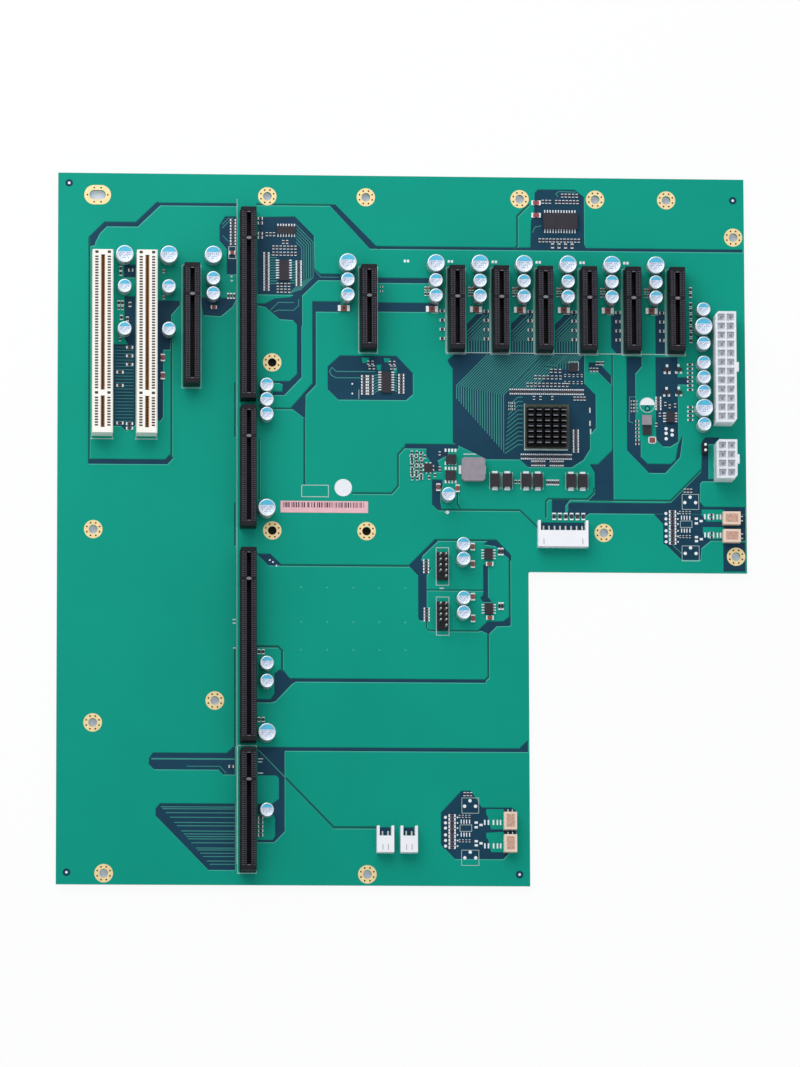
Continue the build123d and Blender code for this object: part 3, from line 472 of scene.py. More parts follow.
# Painted shade and painted highlight along the pour's edges: under each bare shape and gap lie a darker copy
# moved up and to the left and a lighter copy moved down and to the right
EDGE_HIGHLIGHT_SHIFT = (0.5, 0.8)
EDGE_SHADE_SHIFT = (-0.4, -0.7)
NARROW = 2.0


def shifted(points, shift):
    """Points of the photograph moved by a few tenths of a pixel."""
    return [(x + shift[0], y + shift[1]) for x, y in points]


bare = Layer(BARE_HEIGHT)
gaps = Layer(BARE_HEIGHT + STAGGER / 2)
edge_highlights = Layer(EDGE_HIGHLIGHT_HEIGHT)
edge_shades = Layer(EDGE_SHADE_HEIGHT)
for shape in outlines(BARE_SHAPES):
    bare.plate(*shape)
    edge_highlights.plate(*shifted(shape, EDGE_HIGHLIGHT_SHIFT))
    edge_shades.plate(*shifted(shape, EDGE_SHADE_SHIFT))
for width, *numbers in BARE_LINES:
    line = pairs(numbers)
    (gaps if width < NARROW else bare).ribbon(width, line)
    edge_highlights.ribbon(width, shifted(line, EDGE_HIGHLIGHT_SHIFT))
    edge_shades.ribbon(width, shifted(line, EDGE_SHADE_SHIFT))

# The bare corner round the screw hole in front of the beige headers, left open where the hole is
CORNER_HOLE = (737.3, 556.2)
CORNER_CUT = 6.5
CORNER_STEPS = 12
for side, edge in ((-1, 724.5), (1, 746.5)):
    angles = [math.pi * (0.5 - side * k / CORNER_STEPS) for k in range(CORNER_STEPS + 1)]
    rim = arc(CORNER_HOLE, CORNER_CUT, angles)
    bare.plate((CORNER_HOLE[0], 542), (edge, 542), (edge, 571), (CORNER_HOLE[0], 571), *rim)
pour = Layer(POUR_HEIGHT)
for shape in outlines(POUR_SHAPES):
    pour.plate(*shape)
traces = Layer(TRACE_HEIGHT)
for width, *numbers in TRACE_LINES:
    traces.ribbon(width, pairs(numbers))

# Traces that fan out under the sockets towards the switch chip
FAN_FIRST_X = 456.4
FAN_STEP = 2.36
FAN_COUNT = 21
FAN_TOP = 356.4
FAN_TURN = 387.9
FAN_TURN_DROP = 0.45
FAN_DIAGONAL_START = (457.4, 402.3)
FAN_DIAGONAL_SLOPE = 1.12
TRACE_WIDTH = 0.9


def trace(*points):
    """A trace of the usual width."""
    traces.ribbon(TRACE_WIDTH, points)


for k in range(FAN_COUNT):
    x = FAN_FIRST_X + k * FAN_STEP
    foot = FAN_DIAGONAL_START[1] + (x - FAN_DIAGONAL_START[0]) * FAN_DIAGONAL_SLOPE
    turn = FAN_TURN + FAN_TURN_DROP * k
    trace((x, foot), (x, turn), (x + turn - FAN_TOP, FAN_TOP))
for k in range(12):
    y = 399 + 4.3 * k
    trace((509 - 0.4 * k, y + 9), (518, y), (523, y))
for k in range(11):
    x = 547 + 2.8 * k
    trace((x + 9, FAN_TOP), (x, FAN_TOP + 9), (x, 371))
for k in range(9):
    x = 510 + 3 * k
    trace((x, 390), (x + 390 - FAN_TOP, FAN_TOP))

# Traces between the card sockets
SLOT_STEP = 44.42
for gap in range(3):
    left_x = 467.2 + SLOT_STEP * gap
    bare.plate((left_x, 326), (left_x + 12, 314), (left_x + 23.2, 314), (left_x + 23.2, 354.6),
               (left_x, 354.6))
    for k in range(8):
        x = left_x + 1.6 + 2.7 * k
        lean = left_x + 22.4 - x
        trace((x, 354.4), (x, 343), (x + lean, 343 - lean))
    for k in range(3):
        y = 341 - 3.6 * k
        trace((left_x + 0.4, y), (left_x + y - 316, 316.4))

# Traces beside the computer column's rear end, and those of the middle circuit
for k in range(6):
    start, bend = 228.6 + 3.4 * k, 312 - 2.3 * k
    foot = 281 + 0.8 * k
    traces.ribbon(0.75, [(294.8, start), (bend, start + bend - 294.8), (bend, foot), (bend - 13, foot + 13)])
for k in range(12):
    trace((268, 259 + 2.6 * k), (276, 259 + 2.6 * k))
for k in range(9):
    trace((289, 266 + 2.6 * k), (295, 266 + 2.6 * k))
for k in range(7):
    trace((373, 378.6 + 2.9 * k), (379.5, 377.5 + 2.5 * k))
    trace((391.5, 377.5 + 2.5 * k), (396.5, 378 + 2.7 * k))

# Traces that run in rows to the computer column's front end
COMB_ROWS = (806.5, 808.4, 812.2, 816.7, 821.8, 825, 830.1, 833, 835.5, 837.8, 841.6, 846.7, 848.6, 851.8,
             855, 859.4, 862.6)
COMB_FIRST = (159.7, 806.5)
COMB_SLOPE = 1.157
for row_y in COMB_ROWS:
    trace((COMB_FIRST[0] + (row_y - COMB_FIRST[1]) / COMB_SLOPE, row_y), (233, row_y))
for k in range(24):
    traces.ribbon(0.55, [(113, 352.6 + 3.2 * k), (131.8, 352.6 + 3.2 * k)])

# The painted edge shades and painted edge highlights
edge_shades.build("painted_edge_shades", PAINTED_EDGE_SHADE)
edge_highlights.build("painted_edge_highlights", EDGE_HIGHLIGHT_AND_DOT_GREEN)
bare.build("bare_laminate", BARE_AND_SHADE)
gaps.build("mask_gaps", GAP)
pour.build("inner_pour", MASK)
traces.build("signal_traces", TRACE)

# Gold rings with small vias round the screw holes
HOLE_PLACES = [
    (96.3, 10.1), (141.8, 10.1), (213, 10.2), (248, 10.1), (281, 10.1), (312, 27.3), (98.5, 87.8),
    (16.5, 165.9), (98.5, 165.9), (141.8, 165.9), (251, 165.9), (312, 176.5), (72.2, 244.6), (16.5, 255),
    (21.7, 324), (141.8, 324),
]
RING_OUTER = 4.25 * MM
RING_INNER = 2.0 * MM
RING_VIA_CIRCLE = 3.15 * MM
RING_VIA = 0.42 * MM
SLOTTED_PLACE = (18.1, 10.2)
SLOT_HALF_RUN = 1.6 * MM


def round_outline(centre, radius, stretch=0.0, sides=32):
    """A circle, or a slot's outline if it is stretched along X."""
    return [(x + math.copysign(stretch, x - centre[0]), y) for x, y in arc(centre, radius, turns(sides, 0.5))]


def from_corner(right_of_left_edge, in_front_of_rear_edge):
    """A point measured in millimetres from the board's rear left corner."""
    return Vector((BOARD_LEFT + right_of_left_edge * MM, BOARD_REAR - in_front_of_rear_edge * MM))


rings = Layer(PAD_HEIGHT)
vias = Layer(SILK_HEIGHT)
for place in HOLE_PLACES:
    centre = from_corner(*place)
    rings.ring(round_outline(centre, RING_INNER), round_outline(centre, RING_OUTER))
    for spot in arc(centre, RING_VIA_CIRCLE, turns(8, 0.5)):
        vias.disc(spot, RING_VIA, 10)
centre = from_corner(*SLOTTED_PLACE)
rings.ring(round_outline(centre, 2.2 * MM, SLOT_HALF_RUN), round_outline(centre, 4.55 * MM, SLOT_HALF_RUN))
for dx, dy in ((-1.6, 3.3), (1.6, 3.3), (-4.7, 0), (4.7, 0), (-1.6, -3.3), (1.6, -3.3)):
    vias.disc(centre + Vector((dx, dy)) * MM, RING_VIA, 10)
rings.build("gold_rings", GOLD)
vias.build("ring_vias", VIA)

# Printed lines of the silkscreen
silk = Layer(SILK_HEIGHT)
SILK_WIDTH = 0.65
THIN_SILK = 0.45


def silk_box(x0, y0, x1, y1, width=SILK_WIDTH):
    """A printed rectangle."""
    silk.ribbon(width, rectangle(x0, y0, x1, y1) + [(x0, y0)])


for width, *numbers in (
    (SILK_WIDTH, 445.5, 355, 688.8, 355), (SILK_WIDTH, 88.2, 443.8, 111.6, 443.8),
    (SILK_WIDTH, 133, 443.8, 155.8, 443.8), (THIN_SILK, 235.4, 203, 235.4, 862),
    (SILK_WIDTH, 435.1, 581.2, 447.8, 581.2), (SILK_WIDTH, 435.1, 630.1, 447.8, 630.1),
    (1.7, 525.1, 405.5, 525.1, 451.1, 568.5, 451.1), (THIN_SILK, 357.9, 392.7, 357.9, 401.9),
    (1.4, 590.8, 409, 590.8, 414), (1.4, 590.8, 422, 590.8, 427), (1.4, 591.4, 430, 591.4, 435),
    (1.2, 438.5, 589.7, 443, 589.7),
):
    silk.ribbon(width, pairs(numbers))
for k in range(6):
    silk.ribbon(THIN_SILK, [(445.5 + SLOT_STEP * k, 290), (445.5 + SLOT_STEP * k, 355)])
for x in (89.8, 110.4, 134.2, 154.8):
    silk.ribbon(THIN_SILK, [(x, 262), (x, 443)])
for corners in ((300.3, 488.3, 327.1, 499.8), (435.1, 549.4, 447.8, 586.6), (435.1, 598.3, 447.8, 636.1),
                (236.0, 746, 254.6, 871.2), (570, 363.3, 579.5, 371.5), (227, 251, 234, 263)):
    silk_box(*corners)
for x, y, length in ((256.5, 759, 5), (256.5, 762, 4), (256.5, 773, 5), (231, 622, 3.4), (231, 625.5, 3.4),
                     (231.5, 650, 3), (463, 456.2, 13),
                     (229, 281, 2), (229, 285.2, 2.4), (444, 514.2, 3)):
    silk.ribbon(1.1, [(x, y), (x + length, y)])

# Bare metal: pads of unfitted parts, and dots
pads = Layer(PAD_HEIGHT)
dots = Layer(TRACE_HEIGHT)
# Clearances round pads, and the painted shade behind the white headers
clearances_and_shades = Layer(POUR_HEIGHT)
PAD_RADIUS = 0.78 * MM
DOT_RADIUS = 0.4 * MM


def dot(layer, x, y, radius, sides):
    """A round plate with its middle in the photograph's pixels."""
    layer.disc(at((x, y)), radius, sides)


def pad_bar(x, y, width, height):
    """A plain pad, its middle and size in the photograph's pixels."""
    pads.block(at((x, y)), (width * PIXEL, height * PIXEL))


def unfitted_circuit(x, y, bar_rows):
    """The pads of a circuit whose parts are left off, from the middle of its first round pad."""
    for dx, dy in ((0, 0), (-5.4, 5.4), (5.5, 5.4), (0, 50.4), (-5.4, 56), (5.5, 56)):
        dot(pads, x + dx, y + dy, PAD_RADIUS, 14)
    for dy in (16.4, 21.8, 26.9, 33.6, 39.1, 44.6):
        dot(clearances_and_shades, x - 24.6, y + dy, 1.35 * MM, 16)
        dot(pads, x - 24.6, y + dy, 0.7 * MM, 12)
        dot(pads, x - 12.6, y + dy, DOT_RADIUS, 8)
    for first_y in (14.8, 31.6):
        row((x - 18, y + first_y), (0, 3.6), 5, BROAD_RUNG, False)
    row((x - 5.4, y - 6.4), (3.2, 0), 3)
    for dx in (-8.9, -6.1, -3.5, -0.5):
        for dy in (20.5, 33.3):
            pad_bar(x + dx, y + dy, 1, 4)
    silk_box(x - 10.1, y + 23.7, x + 1.6, y + 30.1, THIN_SILK)
    silk_box(x - 8.1, y - 2.8, x + 8.7, y + 12.2, THIN_SILK)
    silk_box(x - 8.6, y + 48.5, x + 8.7, y + 63.5, THIN_SILK)
    for dy in (15.4, 39.4):
        row((x - 10.5, y + dy), (3.3, 0), 4, TINY)
    for top, centre_y in ((21.4, 23.7), (39.7, 41.7)):
        for dx, dy in ((6.1, top), (6.1, 2 * centre_y - top), (10.9, centre_y)):
            pad_bar(x + dx, y + dy, 3.2, 2.2)
    for dx in (14.7, 18.3, 23.4, 27.3, 30.5):
        for dy in bar_rows:
            pad_bar(x + dx, y + dy, 1.5, 5)


# Small parts, each a body between two metal ends
bodies, brown_bodies, red_bodies, ends = (Layer() for _ in range(4))
END_WIDTH, END_DEPTH, END_HEIGHT = 1.12, 1.25, 0.96
# length, width and height in millimetres, and the share of the length that an end takes
SMALL = (1.6, 0.9, 0.5, 0.27)
TINY = (1.15, 0.65, 0.4, 0.32)
RUNG = (2.5, 0.85, 0.42, 0.36)
THIN_RUNG = (2.4, 0.55, 0.42, 0.34)
BROAD_RUNG = (3.0, 1.15, 0.45, 0.35)
TALL = (3.2, 1.05, 0.6, 0.3)
MEDIUM = (2.1, 1.15, 0.55, 0.3)
LONG_RUNG = (3.1, 1.5, 0.6, 0.33)
WIDE = (3.2, 1.7, 1.0, 0.26)
SMALL_RED = (2.6, 1.5, 0.8, 0.28)
LARGE_RED = (4.0, 1.9, 0.8, 0.3)
BROAD = (3.4, 2.2, 0.9, 0.2)
BROAD_PLACE = (653.5, 440.8)


def small_part(spot, size=SMALL, upright=True, layer=None):
    """A chip part centred on a point of the photograph, along Y if upright."""
    layer = layer or bodies
    length, width, height = (value * MM for value in size[:3])
    centre = at(spot)
    end = length * size[3]
    run = Vector((0, 1)) if upright else Vector((1, 0))
    body = (width, length - end) if upright else (length - end, width)
    wide, deep = width * END_WIDTH, end * END_DEPTH
    foot = (wide, deep) if upright else (deep, wide)
    layer.block(centre, body, high=height)
    for side in (-1, 1):
        ends.block(centre + run * side * (length - end) / 2, foot, high=height * END_HEIGHT)


def row(first, step, count, size=SMALL, upright=True, layer=None):
    """A row of like small parts, a step apart in pixels."""
    for k in range(count):
        small_part((first[0] + k * step[0], first[1] + k * step[1]), size, upright, layer)


unfitted_circuit(468.1, 799.1, (21.2, 44.2))
unfitted_circuit(691.4, 497.3, (19.4, 37.6))

# What repeats between the card sockets
for k in range(6):
    x = 442.6 + SLOT_STEP * k
    row((x - 0.5, 313.5), (0, 9.2), 4, MEDIUM, False)
    row((x - 17.2, 291.2), (3.4, 0), 2, SMALL, True, brown_bodies)
    row((x - 17.2, 296.6), (3.4, 0), 2)
    for dx in (-39, -35.8):
        pad_bar(x + dx + 1, 263.8, 2.2, 2.6)
    x = 430.1 + SLOT_STEP * k
    silk.ribbon(SILK_WIDTH, [(x + 1, 315.6), (x + 7.8, 315.6), (x + 7.8, 306.4)])

# Rows of upright parts, side by side: the first part's place, the step and the count, under the parts' size
UPRIGHT_ROWS = {
    MEDIUM: ((116.6, 308.6, 3.6, 2), (257.4, 653.6, 4.2, 2), (257.4, 720.4, 4.2, 2), (554, 247.3, 6.6, 4)),
    SMALL: ((116.6, 313.6, 3.6, 2), (272, 251.6, 3.7, 7), (272, 257.8, 3.7, 7), (282, 246, 3.8, 2),
        (276.4, 289, 3.8, 4), (276.4, 294.8, 3.8, 4), (265.4, 238.4, 3.6, 3), (367.4, 366, 4.4, 2),
        (368.8, 370.6, 4.2, 2), (389.2, 366, 4.4, 2), (390.6, 370.6, 3.6, 2), (544.4, 203, 3.6, 3),
        (558, 203, 3.6, 7), (564, 196.6, 3.7, 5), (541, 241.8, 3.6, 12), (515.4, 483.5, 3.6, 2),
        (528, 386.5, 4, 11), (534.4, 399.7, 6.5, 2), (552.8, 399.7, 3.1, 1), (575.5, 400, 3.3, 4),
        (536, 379, 4.2, 7), (552, 372.5, 4.4, 3), (598, 364.5, 3, 3), (592, 371, 3.2, 3)),
    THIN_RUNG: ((510.5, 393.5, 2.1, 36), (521.5, 458.2, 2, 26), (532, 464.9, 2.1, 7), (550.7, 464.9, 2.1, 7),
        (547, 483.8, 1.9, 7)),
    TINY: ((566, 377, 4.2, 5), (566, 384, 4.2, 5)),
    TALL: ((498.5, 553, 3, 2), (498.5, 607, 3, 2)),
    LONG_RUNG: ((553.9, 517.6, 5.9, 6),),
    RUNG: ((226.5, 300.5, 3, 3),),
}
# Rows of parts that lie along X, one behind the other
FLAT_ROWS = {
    BROAD_RUNG: ((127.6, 352.8, 8.5, 3), (118, 377.6, 13.2, 2), (118, 428.2, 5, 1), (127.6, 428.8, 4.5, 2)),
    RUNG: ((231.3, 224.5, 3, 9), (265, 257.5, 2.6, 15), (297.5, 265.5, 2.6, 10), (363.2, 379.5, 2.9, 7),
        (369.6, 379.5, 2.9, 7), (400.6, 378, 2.9, 7), (576.4, 432, 2.6, 9), (425, 562.2, 2.9, 5),
        (425.4, 610, 2.9, 5), (692.3, 365, 4.2, 7), (692.3, 407.5, 4.3, 4), (660, 398.5, 2.8, 5)),
    TINY: ((381, 290, 4.4, 2), (510, 404.8, 3.2, 3), (513.8, 404.8, 3.2, 3), (633.6, 402, 3.4, 4),
        (637.2, 402, 3.4, 4)),
    SMALL: ((638.5, 422, 3.8, 7), (712.8, 514.6, 4.4, 2), (712.8, 532.8, 4.4, 2)),
    MEDIUM: ((259, 817, 4.2, 5), (229.6, 766.8, 5, 1), (258.8, 222.6, 4.6, 2), (258.8, 237.6, 4, 2),
        (128.5, 275.7, 5, 1)),
}
# Upright parts one behind the other or askew: place, step along X and Y, count and size
MIXED_ROWS = (
    (693.5, 290, 0, 5.6, 2, MEDIUM), (693.5, 305, 0, 6, 7, MEDIUM), (118.5, 274.2, 0, 4.8, 2, MEDIUM),
    (119.2, 323, 6, 1.6, 2, MEDIUM), (127.8, 310, 0, 5, 1, MEDIUM), (118, 344.7, 0, 5, 1, SMALL),
    (424.2, 459.2, 0, 5, 1, SMALL), (439, 455.8, 0, 15, 2, SMALL), (434.2, 477.5, -5.9, 2.5, 2, SMALL),
    (667, 404.6, 4.5, 2.4, 2, SMALL), (677, 406, 0, 5, 1, SMALL), (661.5, 415.4, 0, 5, 1, SMALL),
    (657.7, 425.4, 0, 5, 1, SMALL),
)
for size, rows in UPRIGHT_ROWS.items():
    for x, y, step, count in rows:
        row((x, y), (step, 0), count, size)
for x, y, step_x, step_y, count, size in MIXED_ROWS:
    row((x, y), (step_x, step_y), count, size)
for size, rows in FLAT_ROWS.items():
    for x, y, step, count in rows:
        row((x, y), (0, step), count, size, False)
for k in range(27):
    spot = (411.2 + 4.6 * (k % 3) + random.uniform(-0.6, 0.6), 455.3 + 3.2 * (k // 3))
    small_part(spot, SMALL, random.random() < 0.3)
for layer, size, upright, *numbers in (
    (brown_bodies, SMALL, True, 161.7, 276.5, 161.7, 302.6),
    (red_bodies, WIDE, True, 160.9, 362.8, 160.9, 380.8),
    (red_bodies, LARGE_RED, False, 537.5, 204.2, 537.5, 216.7),
    (red_bodies, SMALL_RED, False, 230.5, 257.3, 212, 312),
    (brown_bodies, WIDE, True, 471.8, 548.4, 471.8, 565.6, 471.8, 598, 471.8, 619.4, 437.5, 489.5, 456.9,
     490.5),
    (brown_bodies, WIDE, False, 488.8, 565.3, 488.8, 618.6),
    (brown_bodies, BROAD, False, *BROAD_PLACE),
):
    for spot in pairs(numbers):
        small_part(spot, size, upright, layer)

# Round pads and dots, and the pads beside the larger parts
for spot in ((667.7, 429.2), (667.7, 433.8), (667.7, 439.2), (673.8, 430.8), (673.8, 435.4), (446.7, 514.2)):
    dot(pads, *spot, PAD_RADIUS, 14)
for spot in pairs((268.3, 562.9, 271.4, 564.8, 275, 568.3, 229.7, 281, 230.3, 285.2, 351.3, 387.1, 351.3,
                   396.8)):
    dot(pads, *spot, DOT_RADIUS, 10)
for x in range(5):
    for y in (589.6, 623.7, 651.2):
        dot(dots, 299.6 + 26.1 * x, y, DOT_RADIUS, 10)
for centre_x, centre_y in ((669.2, 369.7), (680.8, 369.2), (668.5, 392.3), (680.8, 391.8)):
    for dx, dy in ((-2.3, 3.4), (2.3, 3.4), (0, -3.4)):
        pad_bar(centre_x + dx, centre_y + dy, 2.4, 2.8)
for x in (445, 448.5, 451.7, 455):
    for y in (452.5, 465.5, 470.5, 483.7):
        pad_bar(x, y, 1.7, 3.2)
for x in (460.1, 483.6):
    pad_bar(x, 471.7, 3.6, 8.3)
for spot in arc((427.7, 470.2), 5.2, turns(8, 0.5)):
    pad_bar(*spot, 1.7, 1.7)
FINE_CHIPS = ((282.5, 273), (385.5, 384))
for chip_x, chip_y in FINE_CHIPS:
    for k in range(8):
        for side in (-1, 1):
            pad_bar(chip_x + side * 6.3, chip_y + 2.5 * (k - 3.5), 3.2, 1.2)
pads.block(at(BROAD_PLACE), (2.6 * MM, 3.4 * MM))
BIG_PAD = (648.9, 405.7)
BIG_PAD_RADIUS = 3.3 * MM
centre = at(BIG_PAD)
pads.prism(arc(centre, BIG_PAD_RADIUS, [math.pi * k / 20 for k in range(21)]))
silk.ring(round_outline(centre, BIG_PAD_RADIUS), round_outline(centre, BIG_PAD_RADIUS + 0.3 * MM))
for dy in (-2.2, 3.5):
    dot(clearances_and_shades, BIG_PAD[0], BIG_PAD[1] + dy, 1.3 * MM, 18)
    dot(dots, BIG_PAD[0], BIG_PAD[1] + dy, 0.7 * MM, 14)
for spot in ((66.4, 188.8), (737.3, 199.8), (517.4, 871.3), (66, 871)):
    dot(clearances_and_shades, *spot, 1.75 * MM, 24)
    dot(pads, *spot, 0.6 * MM, 14)

# Card sockets: ridges beside the card gap, ribs between the contacts, and their ends on the rails, in a
# lighter grey than the black moulding as painted highlights; grey marks at the slot's ends and key are
# painted highlights too
END_WALL = 2.0 * MM
KEY_SECTION = 11.65 * MM
KEY_BRIDGE = 1.7 * MM
TROUGH_HALF = 2.3 * MM
RAIL_HALF = 3.12 * MM
RIDGE_NEAR = 1.28 * MM
RIDGE_FAR = 1.46 * MM
RIB_PITCH = 1.0 * MM
RIB_THICKNESS = 0.34 * MM
RIDGE_TOP_DROP = 0.18 * MM
RIB_TOP_DROP = 0.36 * MM
TROUGH_DEPTH = 0.9 * MM
RIDGE_END_GAP = 0.2 * MM
RIB_END_GAP = 0.65 * MM
FOOT_GAP = 0.55 * MM
END_MARK = Vector((1.6, 0.3)) * MM
END_MARK_HEIGHT = 0.7 * MM
KEY_MARK = Vector((1.2, 0.65)) * MM
KEY_MARK_DROP = 0.2 * MM

rib_highlights = Layer()
key_highlights = Layer()
for name in starting("computer_socket", "lane_socket"):
    low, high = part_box(name)
    centre_x = middle(low, high).x
    top = high.z - BOARD_TOP
    trough = top - TROUGH_DEPTH
    rear_end = high.y - END_WALL
    key_end = rear_end - KEY_SECTION
    if name.startswith("lane"):
        silk.ring(*(rectangle(low.x - gap, low.y - gap, high.x + gap, high.y + gap)
                    for gap in (FOOT_GAP, FOOT_GAP + THIN_SILK * PIXEL)))
    for start, stop in ((rear_end, key_end), (key_end - KEY_BRIDGE, low.y + END_WALL)):
        centre_y, length = (start + stop) / 2, start - stop
        count = round((length - RIB_END_GAP) / RIB_PITCH)
        for side in (-1, 1):
            rib_highlights.block((centre_x + side * (RIDGE_NEAR + RIDGE_FAR) / 2, centre_y),
                            (RIDGE_FAR - RIDGE_NEAR, length - 2 * RIDGE_END_GAP), trough - UNDERSIDE_GAP,
                            top - RIDGE_TOP_DROP)
            for k in range(count + 1):
                rib_y = centre_y + (k - count / 2) * RIB_PITCH
                for near, far, base, height in (
                        (RIDGE_FAR, TROUGH_HALF, trough - UNDERSIDE_GAP, top - RIB_TOP_DROP),
                        (TROUGH_HALF, RAIL_HALF, top - UNDERSIDE_GAP, top + PROUD)):
                    rib_highlights.block((centre_x + side * (near + far) / 2, rib_y),
                                    (far - near, RIB_THICKNESS), base, height)
    # painted highlights at the slot's ends and key
    for y in (rear_end - END_MARK.y, low.y + END_WALL + END_MARK.y):
        key_highlights.block((centre_x, y), END_MARK, trough, trough + END_MARK_HEIGHT)
    key_centre = (centre_x, key_end - KEY_BRIDGE / 2)
    key_highlights.prism(arc(key_centre, KEY_MARK.x, turns(20), KEY_MARK.y / KEY_MARK.x), trough,
                    top - KEY_MARK_DROP)
rib_highlights.build("lane_socket_rib_highlights", SOCKET_RIB_HIGHLIGHT, "socket_black")
key_highlights.build("lane_socket_end_key_highlights", SOCKET_KEY_HIGHLIGHT, "socket_black")

# White bus sockets: ribs across the contact rows, with contacts between them; the cavities and the card slot
# are filled with a dark brown that is partly the contacts' colour and partly painted shade
BUS_END_WALL = 2.4 * MM
BUS_LONG = 62.9 * MM
BUS_KEY = 2.7 * MM
BUS_ROW = 2.85 * MM
BUS_ROW_WIDTH = 1.3 * MM
BUS_ROW_DEPTH = 1.6 * MM
BUS_PITCH = 1.27 * MM
BUS_RIB = 0.6 * MM
BUS_WINDOW = 1.55 * MM
BUS_STRIP_WIDTH = 1.1 * MM
BUS_STRIP_GAP = 0.1 * MM
BUS_STRIP_LOW, BUS_STRIP_HIGH = 2.6 * MM, 1.2 * MM
BUS_RIB_DROP = 0.1 * MM
BUS_CONTACT_DROP = 0.3 * MM
BUS_CONTACT = Vector((0.45, 0.82)) * MM
BUS_CONTACT_OUT = 0.75 * MM
BUS_END_WINDOW = Vector((1.5, 1.2)) * MM
bus_ribs = Layer()
window_shades = Layer()
bus_contacts = Layer()
for name in starting("bus_socket"):
    low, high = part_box(name)
    centre_x = middle(low, high).x
    top = high.z - BOARD_TOP
    row_floor = top - BUS_ROW_DEPTH
    rear_end = high.y - BUS_END_WALL
    key_start = rear_end - BUS_LONG
    for start, stop in ((rear_end, key_start), (key_start - BUS_KEY, low.y + BUS_END_WALL)):
        centre_y, length = (start + stop) / 2, start - stop
        count = int(length / BUS_PITCH)
        window_shades.block((centre_x, centre_y), (BUS_STRIP_WIDTH, length - BUS_STRIP_GAP),
                          top - BUS_STRIP_LOW, top - BUS_STRIP_HIGH)
        for side in (-1, 1):
            row_x = centre_x + side * BUS_ROW
            for k in range(count + 1):
                rib_y = centre_y + (k - count / 2) * BUS_PITCH
                window_y = rib_y + BUS_PITCH / 2
                bus_ribs.block((row_x, rib_y), (BUS_ROW_WIDTH, BUS_RIB), row_floor, top - BUS_RIB_DROP)
                if k < count:
                    window_shades.block((row_x, window_y), (BUS_WINDOW, BUS_PITCH - BUS_RIB), row_floor,
                                      top + PROUD)
                    bus_contacts.block((centre_x + side * BUS_CONTACT_OUT, window_y), BUS_CONTACT, row_floor,
                                       top - BUS_CONTACT_DROP)
    for side in (-1, 1):
        for y in (key_start - BUS_KEY / 2, high.y - BUS_END_WALL / 2):
            window_shades.cover((centre_x + side * BUS_ROW, y), BUS_END_WINDOW, top)
bus_ribs.build("bus_socket_ribs", SOCKET_CREAM, "socket_cream")
window_shades.build("bus_socket_window_shades", WINDOW_SHADE, "socket_cream")
bus_contacts.build("bus_socket_contacts", CONTACT, "pin_tin")

# Round capacitors
CAN_SIDES = 40
SHOULDER = 0.32 * MM
RIM_DROP = 0.16 * MM
SEGMENT_CHORD = 0.32
SEGMENT_STEPS = 16
# the foot of a can: how far in from its radius, and how high above the board, both in millimetres
CAN_FOOT = ((0.25, 0), (0.2, 0.7), (0.05, 0.75), (0, 0.95), (0, 1.5), (0.3, 1.8), (0.3, 2.1), (0, 2.4))
# the dashes on a can's top: how far behind the middle, and half of the row's width, as shares of the radius
DASH_ROWS = ((0.14, 0.6), (-0.08, 0.66), (-0.3, 0.6), (-0.54, 0.46))


def islands(mesh):
    """The boxes, as low and high corners, of a mesh's separate solids."""
    work = bmesh.new()
    work.from_mesh(mesh)
    bmesh.ops.remove_doubles(work, verts=work.verts, dist=0.001 * MM)
    left, found = set(work.verts), []
    while left:
        stack, group = [left.pop()], []
        while stack:
            vertex = stack.pop()
            group.append(vertex.co.copy())
            for edge in vertex.link_edges:
                other = edge.other_vert(vertex)
                if other in left:
                    left.remove(other)
                    stack.append(other)
        found.append((Vector([min(c[k] for c in group) for k in range(3)]),
                      Vector([max(c[k] for c in group) for k in range(3)])))
    work.free()
    return sorted(found, key=lambda corners: (round(corners[0].x, 5), corners[0].y))


def lathe(profile, bands, centre, vertices, faces, materials):
    """Adds a turned form: a profile of (radius, height) pairs, and the material of each band of it."""
    first = len(vertices)
    for radius, height in profile:
        vertices += [(x, y, height) for x, y in arc(centre, radius, turns(CAN_SIDES))]
    for step, band in enumerate(bands):
        a, b = first + step * CAN_SIDES, first + (step + 1) * CAN_SIDES
        for k in range(CAN_SIDES):
            after = (k + 1) % CAN_SIDES
            faces.append([a + k, a + after, b + after, b + k])
            materials.append(band)
    faces.append([first + k for k in reversed(range(CAN_SIDES))])
    faces.append([len(vertices) - CAN_SIDES + k for k in range(CAN_SIDES)])
    materials += [bands[0], bands[-1]]


